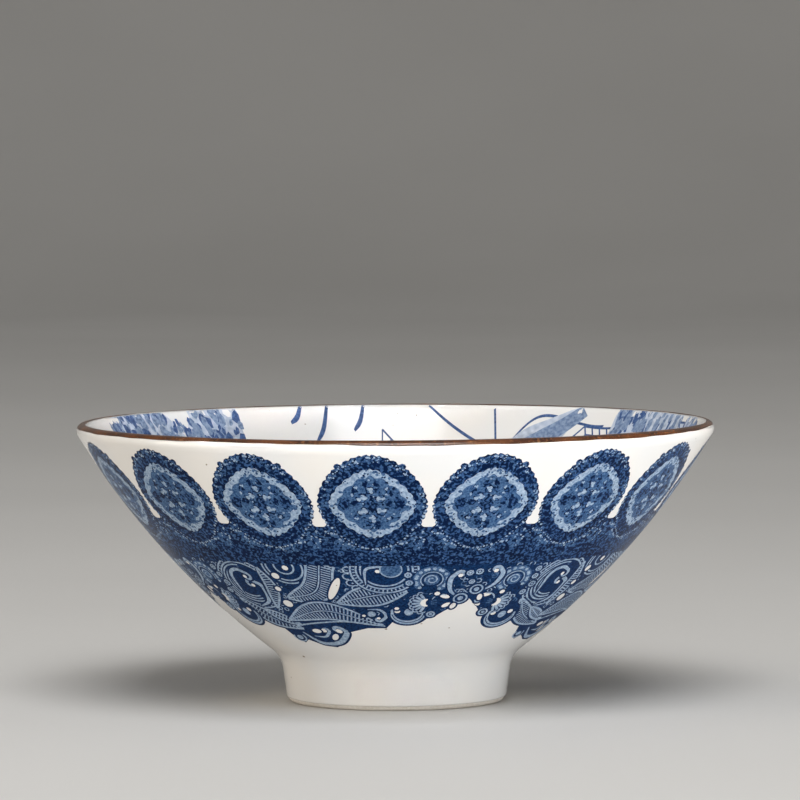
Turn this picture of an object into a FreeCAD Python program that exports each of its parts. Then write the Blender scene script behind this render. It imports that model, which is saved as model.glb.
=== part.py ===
import FreeCAD, Part
import math
import os
import re
import Sketcher

# A small conical porcelain tea bowl on a foot ring, in millimetres.
# +Z is up, the bowl's axis is Z, and the origin is the centre of the circle that the foot rests on.
#
# Every piece is turned about Z from a section in the XZ plane: X is the radius, Z is the height.
# The glazed outside runs up the foot, through a hollow curve, along one long wall arc and over the
# lip. The glazed inside is a wall arc that runs down into a shallow bowl arc. The porcelain lies one
# glaze coat behind that surface and the printed films stand one film in front of it, so all of the
# sections share the same arc centres and differ only in how proud they stand.

DIMENSIONS = {
    "rim_radius": 45.0,             # outermost radius, on the lip
    "cup_height": 39.5,             # resting circle to the top of the lip
    "lip_radius": 1.0,              # half the thickness of the rounded lip
    "outer_wall_offset": 51.0,      # the outer wall arc is centred this far beyond the axis
    "outer_wall_height": 96.0,      # and this high
    "inner_wall_offset": 38.1,      # the same for the inner wall arc
    "inner_wall_height": 88.4,
    "floor_height": 7.8,            # drinking surface at the axis
    "foot_curve_across": 20.0,      # centre of the hollow curve between foot and wall
    "foot_curve_height": 4.25,
    "foot_radius": 15.5,            # side of the foot at the glaze line
    "glaze_line": 0.6,              # the foot's rounded edge is wiped bare below this height
    "well_radius": 12.5,            # hollow under the bowl, at the glaze line
    "well_top_radius": 12.1,        # and at its ceiling
    "well_height": 4.6,             # height of the ceiling
    "well_corner": 0.8,             # rounding where the glaze pools in its corner
    "seam_height": 5.6,             # where the foot ring is luted to the bowl
    "glaze": 0.25,                  # thickness of each glaze coat
    "film": 0.08,                   # thickness of each printed film
    "rim_low": 38.75,               # lower edge of the brown rim on the outside
    "rim_inside": 43.5,             # radius where the brown rim ends on the inside
    "band_low": 21.75,              # lower edge of the printed band
    "band_high": 27.4,              # upper edge of the band
    "medallion_top": 37.2,          # top of the printed medallions
    "medallion_middle": 30.5,       # height of a medallion's centre
    "medallion_across": 7.8,        # from the middle of a gap to the next medallion's centre
    "medallion_radius": 7.35,
    "medallion_count": 16,
    "medallion_turn": 6.75,         # turn of the first gap from the front, in degrees
    "lace_low": 9.7,                # deepest point of the printed lace
    "arch_crown": 16.7,             # top of the arches in the lace's lower edge
    "arch_half": 6.0,               # half the width of an arch
    "arch_count": 4,
    "arch_turn": 20.6,              # turn of the first arch from the front, in degrees
    "garden_high": 38.4,            # upper edge of the printed garden inside
}

# Arc centres, as (radius, height), and the same as spreadsheet expressions.
WALL = (-DIMENSIONS["outer_wall_offset"], DIMENSIONS["outer_wall_height"])
INSIDE = (-DIMENSIONS["inner_wall_offset"], DIMENSIONS["inner_wall_height"])
FOOT_CURVE = (DIMENSIONS["foot_curve_across"], DIMENSIONS["foot_curve_height"])
LIP = (
    DIMENSIONS["rim_radius"] - DIMENSIONS["lip_radius"],
    DIMENSIONS["cup_height"] - DIMENSIONS["lip_radius"],
)
CENTRES = {
    WALL: ("outer_wall_offset", "outer_wall_height"),
    INSIDE: ("inner_wall_offset", "inner_wall_height"),
    FOOT_CURVE: ("foot_curve_across", "foot_curve_height"),
    LIP: ("rim_radius - lip_radius", "cup_height - lip_radius"),
}
LIP_TO_WALL = (
    "hypot(outer_wall_offset + rim_radius - lip_radius; outer_wall_height - cup_height + lip_radius)"
)
LIP_TO_INSIDE = (
    "hypot(inner_wall_offset + rim_radius - lip_radius; inner_wall_height - cup_height + lip_radius)"
)
WALL_RADIUS = f"{LIP_TO_WALL} + lip_radius"
INSIDE_RADIUS = f"{LIP_TO_INSIDE} - lip_radius"
FOOT_CURVE_RADIUS = (
    "hypot(outer_wall_offset + foot_curve_across; outer_wall_height - foot_curve_height)"
    f" - ({WALL_RADIUS})"
)


def in_sheet(expression):
    """Put the sheet's name before every alias in an expression."""
    return re.sub(
        r"[a-z_]+",
        lambda word: f"Dimensions.{word[0]}" if word[0] in DIMENSIONS else word[0],
        expression,
    )


def at_height(centre, radius, height, side=1):
    """Find the point of a circle at a height, on the right (1) or the left (-1) of its centre."""
    return (centre[0] + side * math.sqrt(radius**2 - (height - centre[1]) ** 2), height)


def beyond(centre, through, radius):
    """Find the point of a circle in the direction of another point."""
    share = radius / math.dist(centre, through)
    return tuple(a + (b - a) * share for a, b in zip(centre, through))


class Skin:
    """A surface that stands proud of the glazed surface by some thickness, or behind it."""

    def __init__(self, proud=0.0):
        floor = DIMENSIONS["floor_height"] + proud
        depth = INSIDE[1] - floor
        self.lip_radius = DIMENSIONS["lip_radius"] + proud
        self.wall_radius = math.dist(WALL, LIP) + self.lip_radius
        self.inside_radius = math.dist(INSIDE, LIP) - self.lip_radius
        self.bowl_radius = (INSIDE[0] ** 2 + depth**2 - self.inside_radius**2) / (
            2 * (depth - self.inside_radius)
        )
        self.bowl = (0.0, floor + self.bowl_radius)
        self.floor = (0.0, floor)
        self.bowl_top = beyond(INSIDE, self.bowl, self.inside_radius)
        self.lip_inside = beyond(INSIDE, LIP, self.inside_radius)
        self.lip_outside = beyond(WALL, LIP, self.wall_radius)
        self.wall_foot = beyond(WALL, FOOT_CURVE, self.wall_radius)
        self.foot_curve_radius = math.dist(WALL, FOOT_CURVE) - self.wall_radius
        self.foot_low = (DIMENSIONS["foot_radius"] + proud, DIMENSIONS["glaze_line"])
        reach = math.dist(self.foot_low, FOOT_CURVE)
        towards = math.atan2(FOOT_CURVE[1] - self.foot_low[1], FOOT_CURVE[0] - self.foot_low[0])
        self.foot_slope = towards + math.asin(self.foot_curve_radius / reach)
        length = math.sqrt(reach**2 - self.foot_curve_radius**2)
        self.foot_high = (
            self.foot_low[0] + length * math.cos(self.foot_slope),
            self.foot_low[1] + length * math.sin(self.foot_slope),
        )


GLAZED = Skin()
PORCELAIN = Skin(-DIMENSIONS["glaze"])
PRINTED = Skin(DIMENSIONS["film"])


def new_sheet(document):
    """Put the driving dimensions in a spreadsheet, one alias to a row."""
    sheet = document.addObject("Spreadsheet::Sheet", "Dimensions")
    for row, (alias, value) in enumerate(DIMENSIONS.items(), start=1):
        sheet.set(f"A{row}", alias)
        sheet.set(f"B{row}", str(value))
        sheet.setAlias(f"B{row}", alias)
    document.recompute()


def origin_feature(body, role):
    """Find one of a body's own origin planes or axes."""
    return next(item for item in body.Origin.OriginFeatures if item.Role == role)


class Section:
    """A closed chain of lines and arcs in a body's XZ plane, tied to the spreadsheet."""

    def __init__(self, body, name):
        self.body = body
        self.sketch = body.newObject("Sketcher::SketchObject", name)
        self.sketch.AttachmentSupport = [(origin_feature(body, "XZ_Plane"), "")]
        self.sketch.MapMode = "FlatFace"
        self.edges = []

    def line(self, start, end):
        """Draw a line and return its number."""
        points = [FreeCAD.Vector(*start, 0), FreeCAD.Vector(*end, 0)]
        index = self.sketch.addGeometry(Part.LineSegment(*points), False)
        self.edges.append((index, 1, 2))
        return index

    def arc(self, centre, start, end, turn):
        """Draw an arc about a centre, anticlockwise (turn 1) or clockwise (turn -1)."""
        angles = [math.atan2(point[1] - centre[1], point[0] - centre[0]) for point in (start, end)]
        radius = math.dist(centre, start)
        circle = Part.Circle(FreeCAD.Vector(*centre, 0), FreeCAD.Vector(0, 0, 1), radius)
        index = self.sketch.addGeometry(Part.ArcOfCircle(circle, *angles[::turn]), False)
        self.edges.append((index, 1, 2) if turn > 0 else (index, 2, 1))
        if centre in CENTRES:
            self.place(index, 3, *CENTRES[centre])
        return index

    def join(self, smooth=()):
        """Close the chain. The edges numbered in smooth run tangent into the edge after them."""
        for (index, _, tail), (after, head, _) in zip(self.edges, self.edges[1:] + self.edges[:1]):
            kind = "Tangent" if index in smooth else "Coincident"
            self.sketch.addConstraint(Sketcher.Constraint(kind, index, tail, after, head))

    def bind(self, kind, *where, size, expression):
        """Add a dimension and tie it to the spreadsheet."""
        number = self.sketch.addConstraint(Sketcher.Constraint(kind, *where, size))
        self.sketch.setExpression(f"Constraints[{number}]", in_sheet(expression))

    def place(self, index, point, across=None, up=None):
        """Fix how far a point (1 start, 2 end, 3 centre) is from the axis and the resting plane."""
        geometry = self.sketch.Geometry[index]
        spot = {1: "StartPoint", 2: "EndPoint", 3: "Center"}[point]
        here = getattr(geometry, spot)
        if across is not None:
            ends = (-1, 1, index, point) if here.x >= 0 else (index, point, -1, 1)
            self.bind("DistanceX", *ends, size=abs(here.x), expression=across)
        if up is not None:
            self.bind("DistanceY", -1, 1, index, point, size=here.y, expression=up)

    def radius(self, index, expression):
        """Tie an arc's radius to the spreadsheet."""
        self.bind("Radius", index, size=self.sketch.Geometry[index].Radius, expression=expression)

    def on_axis(self, index, point):
        """Keep a point on the axis."""
        self.sketch.addConstraint(Sketcher.Constraint("PointOnObject", index, point, -2))

    def level(self, index):
        """Keep a line level."""
        self.sketch.addConstraint(Sketcher.Constraint("Horizontal", index))

    def upright(self, index):
        """Keep a line upright."""
        self.sketch.addConstraint(Sketcher.Constraint("Vertical", index))

    def revolve(self, name):
        """Turn the section a full circle about the axis."""
        turned = self.body.newObject("PartDesign::Revolution", name)
        turned.Profile = self.sketch
        turned.ReferenceAxis = (self.sketch, ["V_Axis"])
        turned.Angle = 360.0
        self.body.Document.recompute()
        return turned


def new_body(document, label, turn="0"):
    """Start a sub-part, turned about the axis by an angle from the spreadsheet."""
    body = document.addObject("PartDesign::Body", label)
    body.Label = label
    body.Placement = FreeCAD.Placement(FreeCAD.Vector(), FreeCAD.Rotation(FreeCAD.Vector(0, 0, 1), 0))
    body.setExpression("Placement.Rotation.Angle", in_sheet(turn))
    return body


def bowl_body(document):
    """Build the thrown porcelain bowl, with the low boss under it that centres the foot ring."""
    section = Section(new_body(document, "bowl_body"), "bowl_section")
    ceiling = DIMENSIONS["well_height"] + DIMENSIONS["glaze"]
    boss = DIMENSIONS["well_top_radius"] + DIMENSIONS["glaze"]
    seam = at_height(FOOT_CURVE, PORCELAIN.foot_curve_radius, DIMENSIONS["seam_height"], side=-1)
    underside = section.line((0, ceiling), (boss, ceiling))
    boss_side = section.line((boss, ceiling), (boss, seam[1]))
    ledge = section.line((boss, seam[1]), seam)
    hollow = section.arc(FOOT_CURVE, seam, PORCELAIN.wall_foot, -1)
    wall = section.arc(WALL, PORCELAIN.wall_foot, PORCELAIN.lip_outside, 1)
    lip = section.arc(LIP, PORCELAIN.lip_outside, PORCELAIN.lip_inside, 1)
    inside = section.arc(INSIDE, PORCELAIN.lip_inside, PORCELAIN.bowl_top, -1)
    bowl = section.arc(PORCELAIN.bowl, PORCELAIN.bowl_top, PORCELAIN.floor, -1)
    section.line(PORCELAIN.floor, (0, ceiling))
    section.join(smooth=(hollow, wall, lip, inside))
    section.level(underside)
    section.upright(boss_side)
    section.level(ledge)
    section.radius(lip, "lip_radius - glaze")
    section.on_axis(bowl, 3)
    section.on_axis(bowl, 1)
    section.on_axis(underside, 1)
    section.place(bowl, 1, up="floor_height - glaze")
    section.place(boss_side, 1, "well_top_radius + glaze", "well_height + glaze")
    section.place(ledge, 2, up="seam_height")
    section.revolve("bowl_turned")
    return section.body


def foot_ring(document):
    """Build the turned foot ring, with a rounded bare edge and a flat circle to rest on."""
    section = Section(new_body(document, "foot_ring"), "foot_section")
    seam = at_height(FOOT_CURVE, PORCELAIN.foot_curve_radius, DIMENSIONS["seam_height"], side=-1)
    line_height = DIMENSIONS["glaze_line"]
    ceiling = DIMENSIONS["well_height"] + DIMENSIONS["glaze"]
    boss = DIMENSIONS["well_top_radius"] + DIMENSIONS["glaze"]
    well_low = (DIMENSIONS["well_radius"] + DIMENSIONS["glaze"], line_height)
    well_slope = math.atan2(ceiling - line_height, boss - well_low[0])
    outer_edge = line_height / (1 - math.cos(PORCELAIN.foot_slope))
    inner_edge = line_height / (1 + math.cos(well_slope))
    outer_centre = (PORCELAIN.foot_low[0] - outer_edge * math.sin(PORCELAIN.foot_slope), outer_edge)
    inner_centre = (well_low[0] + inner_edge * math.sin(well_slope), inner_edge)
    flat = section.line((inner_centre[0], 0), (outer_centre[0], 0))
    outer_round = section.arc(outer_centre, (outer_centre[0], 0), PORCELAIN.foot_low, 1)
    side = section.line(PORCELAIN.foot_low, PORCELAIN.foot_high)
    hollow = section.arc(FOOT_CURVE, PORCELAIN.foot_high, seam, -1)
    top = section.line(seam, (boss, seam[1]))
    socket = section.line((boss, seam[1]), (boss, ceiling))
    well_side = section.line((boss, ceiling), well_low)
    inner_round = section.arc(inner_centre, well_low, (inner_centre[0], 0), 1)
    section.join(smooth=(inner_round, flat, outer_round, side, well_side))
    section.level(flat)
    section.level(top)
    section.upright(socket)
    section.place(flat, 1, up="0")
    section.place(side, 1, "foot_radius - glaze", "glaze_line")
    section.place(hollow, 1, up="seam_height")
    section.radius(hollow, f"{FOOT_CURVE_RADIUS} + glaze")
    section.place(socket, 2, "well_top_radius + glaze", "well_height + glaze")
    section.place(well_side, 2, "well_radius + glaze", "glaze_line")
    section.revolve("foot_turned")
    return section.body


def outer_glaze(document):
    """Build the clear coat on the outside, from the wiped foot up to the brown rim."""
    section = Section(new_body(document, "outer_glaze"), "outer_glaze_section")
    rim_low = DIMENSIONS["rim_low"]
    top_outside = at_height(LIP, GLAZED.lip_radius, rim_low)
    top_inside = at_height(LIP, PORCELAIN.lip_radius, rim_low)
    side = section.line(GLAZED.foot_low, GLAZED.foot_high)
    hollow = section.arc(FOOT_CURVE, GLAZED.foot_high, GLAZED.wall_foot, -1)
    wall = section.arc(WALL, GLAZED.wall_foot, GLAZED.lip_outside, 1)
    lip = section.arc(LIP, GLAZED.lip_outside, top_outside, 1)
    top = section.line(top_outside, top_inside)
    back_lip = section.arc(LIP, top_inside, PORCELAIN.lip_outside, -1)
    back_wall = section.arc(WALL, PORCELAIN.lip_outside, PORCELAIN.wall_foot, -1)
    back_hollow = section.arc(FOOT_CURVE, PORCELAIN.wall_foot, PORCELAIN.foot_high, 1)
    back_side = section.line(PORCELAIN.foot_high, PORCELAIN.foot_low)
    section.line(PORCELAIN.foot_low, GLAZED.foot_low)
    section.join(smooth=(side, hollow, wall, back_lip, back_wall, back_hollow))
    section.level(top)
    section.radius(lip, "lip_radius")
    section.radius(back_lip, "lip_radius - glaze")
    section.place(top, 1, up="rim_low")
    section.place(side, 1, "foot_radius", "glaze_line")
    section.place(back_side, 2, "foot_radius - glaze", "glaze_line")
    section.revolve("outer_glaze_coat")
    return section.body


def inner_glaze(document):
    """Build the clear coat on the inside, from the axis up to the brown rim."""
    section = Section(new_body(document, "inner_glaze"), "inner_glaze_section")
    rim_inside = DIMENSIONS["rim_inside"]
    tops = [
        (rim_inside, LIP[1] + math.sqrt(radius**2 - (rim_inside - LIP[0]) ** 2))
        for radius in (PORCELAIN.lip_radius, GLAZED.lip_radius)
    ]
    back_bowl = section.arc(PORCELAIN.bowl, PORCELAIN.floor, PORCELAIN.bowl_top, 1)
    back_inside = section.arc(INSIDE, PORCELAIN.bowl_top, PORCELAIN.lip_inside, 1)
    back_lip = section.arc(LIP, PORCELAIN.lip_inside, tops[0], -1)
    top = section.line(*tops)
    lip = section.arc(LIP, tops[1], GLAZED.lip_inside, 1)
    inside = section.arc(INSIDE, GLAZED.lip_inside, GLAZED.bowl_top, -1)
    bowl = section.arc(GLAZED.bowl, GLAZED.bowl_top, GLAZED.floor, -1)
    axis = section.line(GLAZED.floor, PORCELAIN.floor)
    section.join(smooth=(back_bowl, back_inside, lip, inside))
    section.upright(top)
    section.radius(back_lip, "lip_radius - glaze")
    section.radius(lip, "lip_radius")
    section.place(top, 1, "rim_inside")
    for arc in (back_bowl, bowl):
        section.on_axis(arc, 3)
    section.on_axis(axis, 1)
    section.on_axis(axis, 2)
    section.place(axis, 1, up="floor_height")
    section.place(axis, 2, up="floor_height - glaze")
    section.revolve("inner_glaze_coat")
    return section.body


def rim_glaze(document):
    """Build the brown iron glaze over the lip."""
    section = Section(new_body(document, "rim_glaze"), "rim_section")
    rim_low = DIMENSIONS["rim_low"]
    rim_inside = DIMENSIONS["rim_inside"]
    low_back, low_front = (
        at_height(LIP, radius, rim_low) for radius in (PORCELAIN.lip_radius, GLAZED.lip_radius)
    )
    inside_back, inside_front = (
        (rim_inside, LIP[1] + math.sqrt(radius**2 - (rim_inside - LIP[0]) ** 2))
        for radius in (PORCELAIN.lip_radius, GLAZED.lip_radius)
    )
    low = section.line(low_back, low_front)
    front = section.arc(LIP, low_front, inside_front, 1)
    inside = section.line(inside_front, inside_back)
    back = section.arc(LIP, inside_back, low_back, -1)
    section.join()
    section.level(low)
    section.upright(inside)
    section.radius(front, "lip_radius")
    section.radius(back, "lip_radius - glaze")
    section.place(low, 1, up="rim_low")
    section.place(inside, 1, "rim_inside")
    section.revolve("rim_coat")
    return section.body


def foot_well_glaze(document):
    """Build the clear coat inside the foot ring and under the bowl."""
    section = Section(new_body(document, "foot_well_glaze"), "well_section")
    glaze = DIMENSIONS["glaze"]
    corner = DIMENSIONS["well_corner"]
    low = (DIMENSIONS["well_radius"], DIMENSIONS["glaze_line"])
    high = (DIMENSIONS["well_top_radius"], DIMENSIONS["well_height"])
    corner_centre = (high[0] - corner, high[1] - corner)
    ceiling = section.line((0, high[1]), (corner_centre[0], high[1]))
    pool = section.arc(corner_centre, (corner_centre[0], high[1]), (high[0], corner_centre[1]), -1)
    side = section.line((high[0], corner_centre[1]), low)
    edge = section.line(low, (low[0] + glaze, low[1]))
    back_side = section.line((low[0] + glaze, low[1]), (high[0] + glaze, high[1] + glaze))
    back_ceiling = section.line((high[0] + glaze, high[1] + glaze), (0, high[1] + glaze))
    axis = section.line((0, high[1] + glaze), (0, high[1]))
    section.join(smooth=(ceiling, pool))
    section.level(ceiling)
    section.level(back_ceiling)
    section.upright(axis)
    section.sketch.addConstraint(Sketcher.Constraint("Parallel", side, back_side))
    section.radius(pool, "well_corner")
    section.place(ceiling, 1, "0", "well_height")
    section.place(edge, 1, "well_radius", "glaze_line")
    section.place(back_side, 1, "well_radius + glaze", "glaze_line")
    section.place(back_side, 2, "well_top_radius + glaze", "well_height + glaze")
    section.revolve("well_coat")
    return section.body


def film_strip(body, low, high):
    """Build a printed film that follows the outer wall between two heights, given by name."""
    section = Section(body, f"{body.Label}_section")
    heights = (DIMENSIONS[low], DIMENSIONS[high])
    front_low, front_high = (at_height(WALL, PRINTED.wall_radius, height) for height in heights)
    back_low, back_high = (at_height(WALL, GLAZED.wall_radius, height) for height in heights)
    low_edge = section.line(back_low, front_low)
    front = section.arc(WALL, front_low, front_high, 1)
    high_edge = section.line(front_high, back_high)
    back = section.arc(WALL, back_high, back_low, -1)
    section.join()
    section.level(low_edge)
    section.level(high_edge)
    section.radius(front, f"{WALL_RADIUS} + film")
    section.radius(back, WALL_RADIUS)
    section.place(low_edge, 1, up=low)
    section.place(high_edge, 1, up=high)
    section.revolve(f"{body.Label}_film")


def cut_around(section, name, count):
    """Cut a section out of the front wall of its body and repeat the cut about the axis."""
    body = section.body
    whole = body.Shape.Volume
    pocket = body.newObject("PartDesign::Pocket", name)
    pocket.Profile = section.sketch
    pocket.Type = "ThroughAll"
    pocket.Reversed = True
    body.Document.recompute()
    one_cut = whole - body.Shape.Volume
    pattern = body.newObject("PartDesign::PolarPattern", f"{name}_pattern")
    pattern.Originals = [pocket]
    pattern.Axis = (origin_feature(body, "Z_Axis"), [""])
    pattern.Angle = 360.0
    pattern.setExpression("Occurrences", in_sheet(count))
    body.Tip = pattern
    body.Document.recompute()
    all_cuts = whole - body.Shape.Volume
    if one_cut <= 0 or not math.isclose(all_cuts, DIMENSIONS[count] * one_cut, rel_tol=0.02):
        raise RuntimeError(f"{name}: one cut takes {one_cut}, all of them {all_cuts}")


def band_print(document):
    """Build the plain printed band round the middle of the wall."""
    body = new_body(document, "band_print")
    film_strip(body, "band_low", "band_high")
    return body


def medallion_print(document):
    """Build the ring of printed medallions that stand on the band, as one film cut by gaps."""
    body = new_body(document, "medallion_print", turn="medallion_turn")
    film_strip(body, "band_high", "medallion_top")
    section = Section(body, "gap_section")
    radius = DIMENSIONS["medallion_radius"]
    centres = [(side * DIMENSIONS["medallion_across"], DIMENSIONS["medallion_middle"]) for side in (-1, 1)]
    heights = (DIMENSIONS["band_high"], DIMENSIONS["medallion_top"])
    left_low, left_high = (at_height(centres[0], radius, height, side=1) for height in heights)
    right_low, right_high = (at_height(centres[1], radius, height, side=-1) for height in heights)
    low = section.line(left_low, right_low)
    right = section.arc(centres[1], right_low, right_high, -1)
    high = section.line(right_high, left_high)
    left = section.arc(centres[0], left_high, left_low, -1)
    section.join()
    section.level(low)
    section.level(high)
    for arc in (left, right):
        section.place(arc, 3, "medallion_across", "medallion_middle")
        section.radius(arc, "medallion_radius")
    section.place(low, 1, up="band_high")
    section.place(high, 1, up="medallion_top")
    cut_around(section, "gap", "medallion_count")
    return body


def lace_print(document):
    """Build the printed lace under the band, with arches along its lower edge."""
    body = new_body(document, "lace_print", turn="arch_turn")
    film_strip(body, "lace_low", "band_low")
    section = Section(body, "arch_section")
    half = DIMENSIONS["arch_half"]
    low = DIMENSIONS["lace_low"]
    rise = DIMENSIONS["arch_crown"] - low
    radius = (half**2 + rise**2) / (2 * rise)
    sill = section.line((-half, low), (half, low))
    arch = section.arc((0, low + rise - radius), (half, low), (-half, low), 1)
    section.join()
    section.level(sill)
    section.on_axis(arch, 3)
    section.place(sill, 2, "arch_half", "lace_low")
    section.radius(arch, "(arch_half ^ 2 + (arch_crown - lace_low) ^ 2) / (2 * (arch_crown - lace_low))")
    cut_around(section, "arch", "arch_count")
    return body


def garden_print(document):
    """Build the printed film that carries the garden scene inside the bowl."""
    section = Section(new_body(document, "garden_print"), "garden_section")
    high = DIMENSIONS["garden_high"]
    back_high = at_height(INSIDE, GLAZED.inside_radius, high)
    front_high = at_height(INSIDE, PRINTED.inside_radius, high)
    back_bowl = section.arc(GLAZED.bowl, GLAZED.floor, GLAZED.bowl_top, 1)
    back = section.arc(INSIDE, GLAZED.bowl_top, back_high, 1)
    top = section.line(back_high, front_high)
    front = section.arc(INSIDE, front_high, PRINTED.bowl_top, -1)
    front_bowl = section.arc(PRINTED.bowl, PRINTED.bowl_top, PRINTED.floor, -1)
    axis = section.line(PRINTED.floor, GLAZED.floor)
    section.join(smooth=(back_bowl, front))
    section.level(top)
    section.radius(back, INSIDE_RADIUS)
    section.radius(front, f"{INSIDE_RADIUS} - film")
    for arc in (back_bowl, front_bowl):
        section.on_axis(arc, 3)
    section.on_axis(axis, 1)
    section.on_axis(axis, 2)
    section.place(top, 1, up="garden_high")
    section.place(axis, 1, up="floor_height + film")
    section.place(axis, 2, up="floor_height")
    section.revolve("garden_film")
    return section.body


SUBPARTS = (
    bowl_body,
    foot_ring,
    outer_glaze,
    inner_glaze,
    foot_well_glaze,
    rim_glaze,
    band_print,
    medallion_print,
    lace_print,
    garden_print,
)


def check(document, bodies):
    """Stop if any object failed or any sub-part's shape isn't a sound solid."""
    failed = [item.Name for item in document.Objects if {"Invalid", "Error"} & set(item.State)]
    loose = [
        item.Name
        for item in document.Objects
        if item.TypeId == "Sketcher::SketchObject" and not item.FullyConstrained
    ]
    unsound = [body.Label for body in bodies if body.Shape.isNull() or not body.Shape.isValid()]
    if failed or loose or unsound:
        raise RuntimeError(f"failed {failed}, loose sketches {loose}, unsound {unsound}")


def main():
    """Build every sub-part and write each one to its own file."""
    document = FreeCAD.newDocument("tea_bowl")
    new_sheet(document)
    bodies = [build(document) for build in SUBPARTS]
    document.recompute()
    check(document, bodies)
    os.makedirs("parts", exist_ok=True)
    for body in bodies:
        shape = body.Shape
        shape.exportStep(f"parts/{body.Label}.step")
        print(f"{body.Label}: {len(shape.Solids)} solids, {shape.Volume:.1f} mm3, {shape.BoundBox}")


main()
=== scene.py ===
import math
import random
from collections import Counter

import bmesh
import bpy
import numpy as np
from mathutils import Matrix, Vector
from mathutils.geometry import delaunay_2d_cdt


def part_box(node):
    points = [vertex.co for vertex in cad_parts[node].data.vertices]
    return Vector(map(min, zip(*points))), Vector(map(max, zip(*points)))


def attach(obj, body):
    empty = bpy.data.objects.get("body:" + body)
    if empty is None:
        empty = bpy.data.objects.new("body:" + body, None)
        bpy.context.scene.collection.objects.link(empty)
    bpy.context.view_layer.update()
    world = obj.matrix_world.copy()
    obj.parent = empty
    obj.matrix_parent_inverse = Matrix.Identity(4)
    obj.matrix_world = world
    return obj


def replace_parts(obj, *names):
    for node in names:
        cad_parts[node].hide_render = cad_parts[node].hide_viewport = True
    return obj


# A conical porcelain tea bowl with a brown rim, printed in blue outside and inside.
# Lengths are in millimetres in the CAD model's frame, and become metres as each mesh is made.
MM = 0.001

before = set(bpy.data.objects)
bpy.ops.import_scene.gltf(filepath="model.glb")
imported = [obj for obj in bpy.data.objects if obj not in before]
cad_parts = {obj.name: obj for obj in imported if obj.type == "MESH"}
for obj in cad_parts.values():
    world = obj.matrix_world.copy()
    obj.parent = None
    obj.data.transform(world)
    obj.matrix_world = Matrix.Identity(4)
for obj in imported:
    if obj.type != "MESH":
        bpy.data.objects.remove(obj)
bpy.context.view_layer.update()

# ---------------------------------------------------------------- sizes

GLAZE = 0.25                        # thickness of a glaze coat
FILM_PROUD = 0.02                   # a fired print stands this far above the glaze
FILM_SUNK = 0.03                    # and reaches this far into it
RIM_PROUD = 0.03                    # the brown rim laps over the clear glaze by this much
COAT_EDGE = 0.3                     # a coat rounds off over this length where it ends
RIM_INSIDE = 43.8                   # radius where the brown rim ends, just inside the top of the lip
RIM_RISE = 0.2                      # its lower edge is drawn this much above the CAD part's
RIM_WANDER = 0.1                    # its edges wander by this much
WALL_CENTRE = (-51.0, 96.0)         # outer wall arc, as (radius, height)
INSIDE_CENTRE = (-38.1, 88.4)       # inner wall arc
FOOT_CURVE_CENTRE = (20.0, 4.25)    # hollow curve between foot and wall
LIP_RADIUS = 1.0
WELL_CORNER = 0.8                   # where the glaze pools in the hollow under the bowl
WELL_TAPER = 0.4                    # the hollow is this much narrower at its ceiling
FOOT_RADIUS = 15.5                  # side of the foot at the glaze line
SEGMENTS = 384                      # steps round a turned surface
RIM_RINGS = 16                      # rings across the brown rim
RING_STEP = 0.7                     # spacing of its rings
FINE_STEP = 0.1                     # spacing of the points of a profile
SAME_PLACE = 1e-8                   # vertices of a turned mesh closer than this, in metres, are joined
EDGE_SHARES = np.array([0.0, 0.06, 0.2, 0.45, 0.7, 1.0])   # where a coat's rounded edge has rings


def node_box(node):
    """Give a CAD node's lowest and highest corners."""
    low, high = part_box(node)
    return [value / MM for value in low], [value / MM for value in high]


RIM_LOW = node_box("outer_glaze")[1][2] + RIM_RISE
RIM_RADIUS = round(node_box("rim_glaze")[1][0], 1)
CUP_HEIGHT = round(node_box("rim_glaze")[1][2], 1)
BAND_LOW = node_box("band_print")[0][2]
BAND_HIGH = node_box("band_print")[1][2]
GLAZE_LINE = node_box("outer_glaze")[0][2]
WELL_HEIGHT = node_box("foot_well_glaze")[1][2] - GLAZE
WELL_RADIUS = 12.5
FLOOR_HEIGHT = node_box("inner_glaze")[0][2] + GLAZE
LIP_CENTRE = (RIM_RADIUS - LIP_RADIUS, CUP_HEIGHT - LIP_RADIUS)
WALL_RADIUS = math.dist(WALL_CENTRE, LIP_CENTRE) + LIP_RADIUS
INSIDE_RADIUS = math.dist(INSIDE_CENTRE, LIP_CENTRE) - LIP_RADIUS
FOOT_CURVE_RADIUS = math.dist(WALL_CENTRE, FOOT_CURVE_CENTRE) - WALL_RADIUS
INSIDE_DEPTH = INSIDE_CENTRE[1] - FLOOR_HEIGHT
BOWL_RADIUS = (INSIDE_CENTRE[0] ** 2 + INSIDE_DEPTH**2 - INSIDE_RADIUS**2) / (
    2 * (INSIDE_DEPTH - INSIDE_RADIUS))
BOWL_CENTRE = (0.0, FLOOR_HEIGHT + BOWL_RADIUS)

# ---------------------------------------------------------------- profiles
# A profile has a row for each point: radius, height, and the two parts of the surface normal.


def direction(start, end):
    """Give the angle from one point to another."""
    return math.atan2(end[1] - start[1], end[0] - start[0])


def arc_profile(centre, radius, start, end, hollow=False):
    """Sample an arc between two angles. On a hollow arc the air is on the centre's side."""
    count = max(2, math.ceil(abs(end - start) * radius / FINE_STEP) + 1)
    angles = np.linspace(start, end, count)
    spokes = np.stack([np.cos(angles), np.sin(angles)], axis=1)
    return np.hstack([np.array(centre) + radius * spokes, -spokes if hollow else spokes])


def line_profile(start, end):
    """Sample a straight stretch with the air on its right as it is drawn."""
    count = max(2, math.ceil(math.dist(start, end) / FINE_STEP) + 1)
    along = (np.array(end) - np.array(start)) / math.dist(start, end)
    normals = np.tile([along[1], -along[0]], (count, 1))
    return np.hstack([np.linspace(start, end, count), normals])


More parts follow.
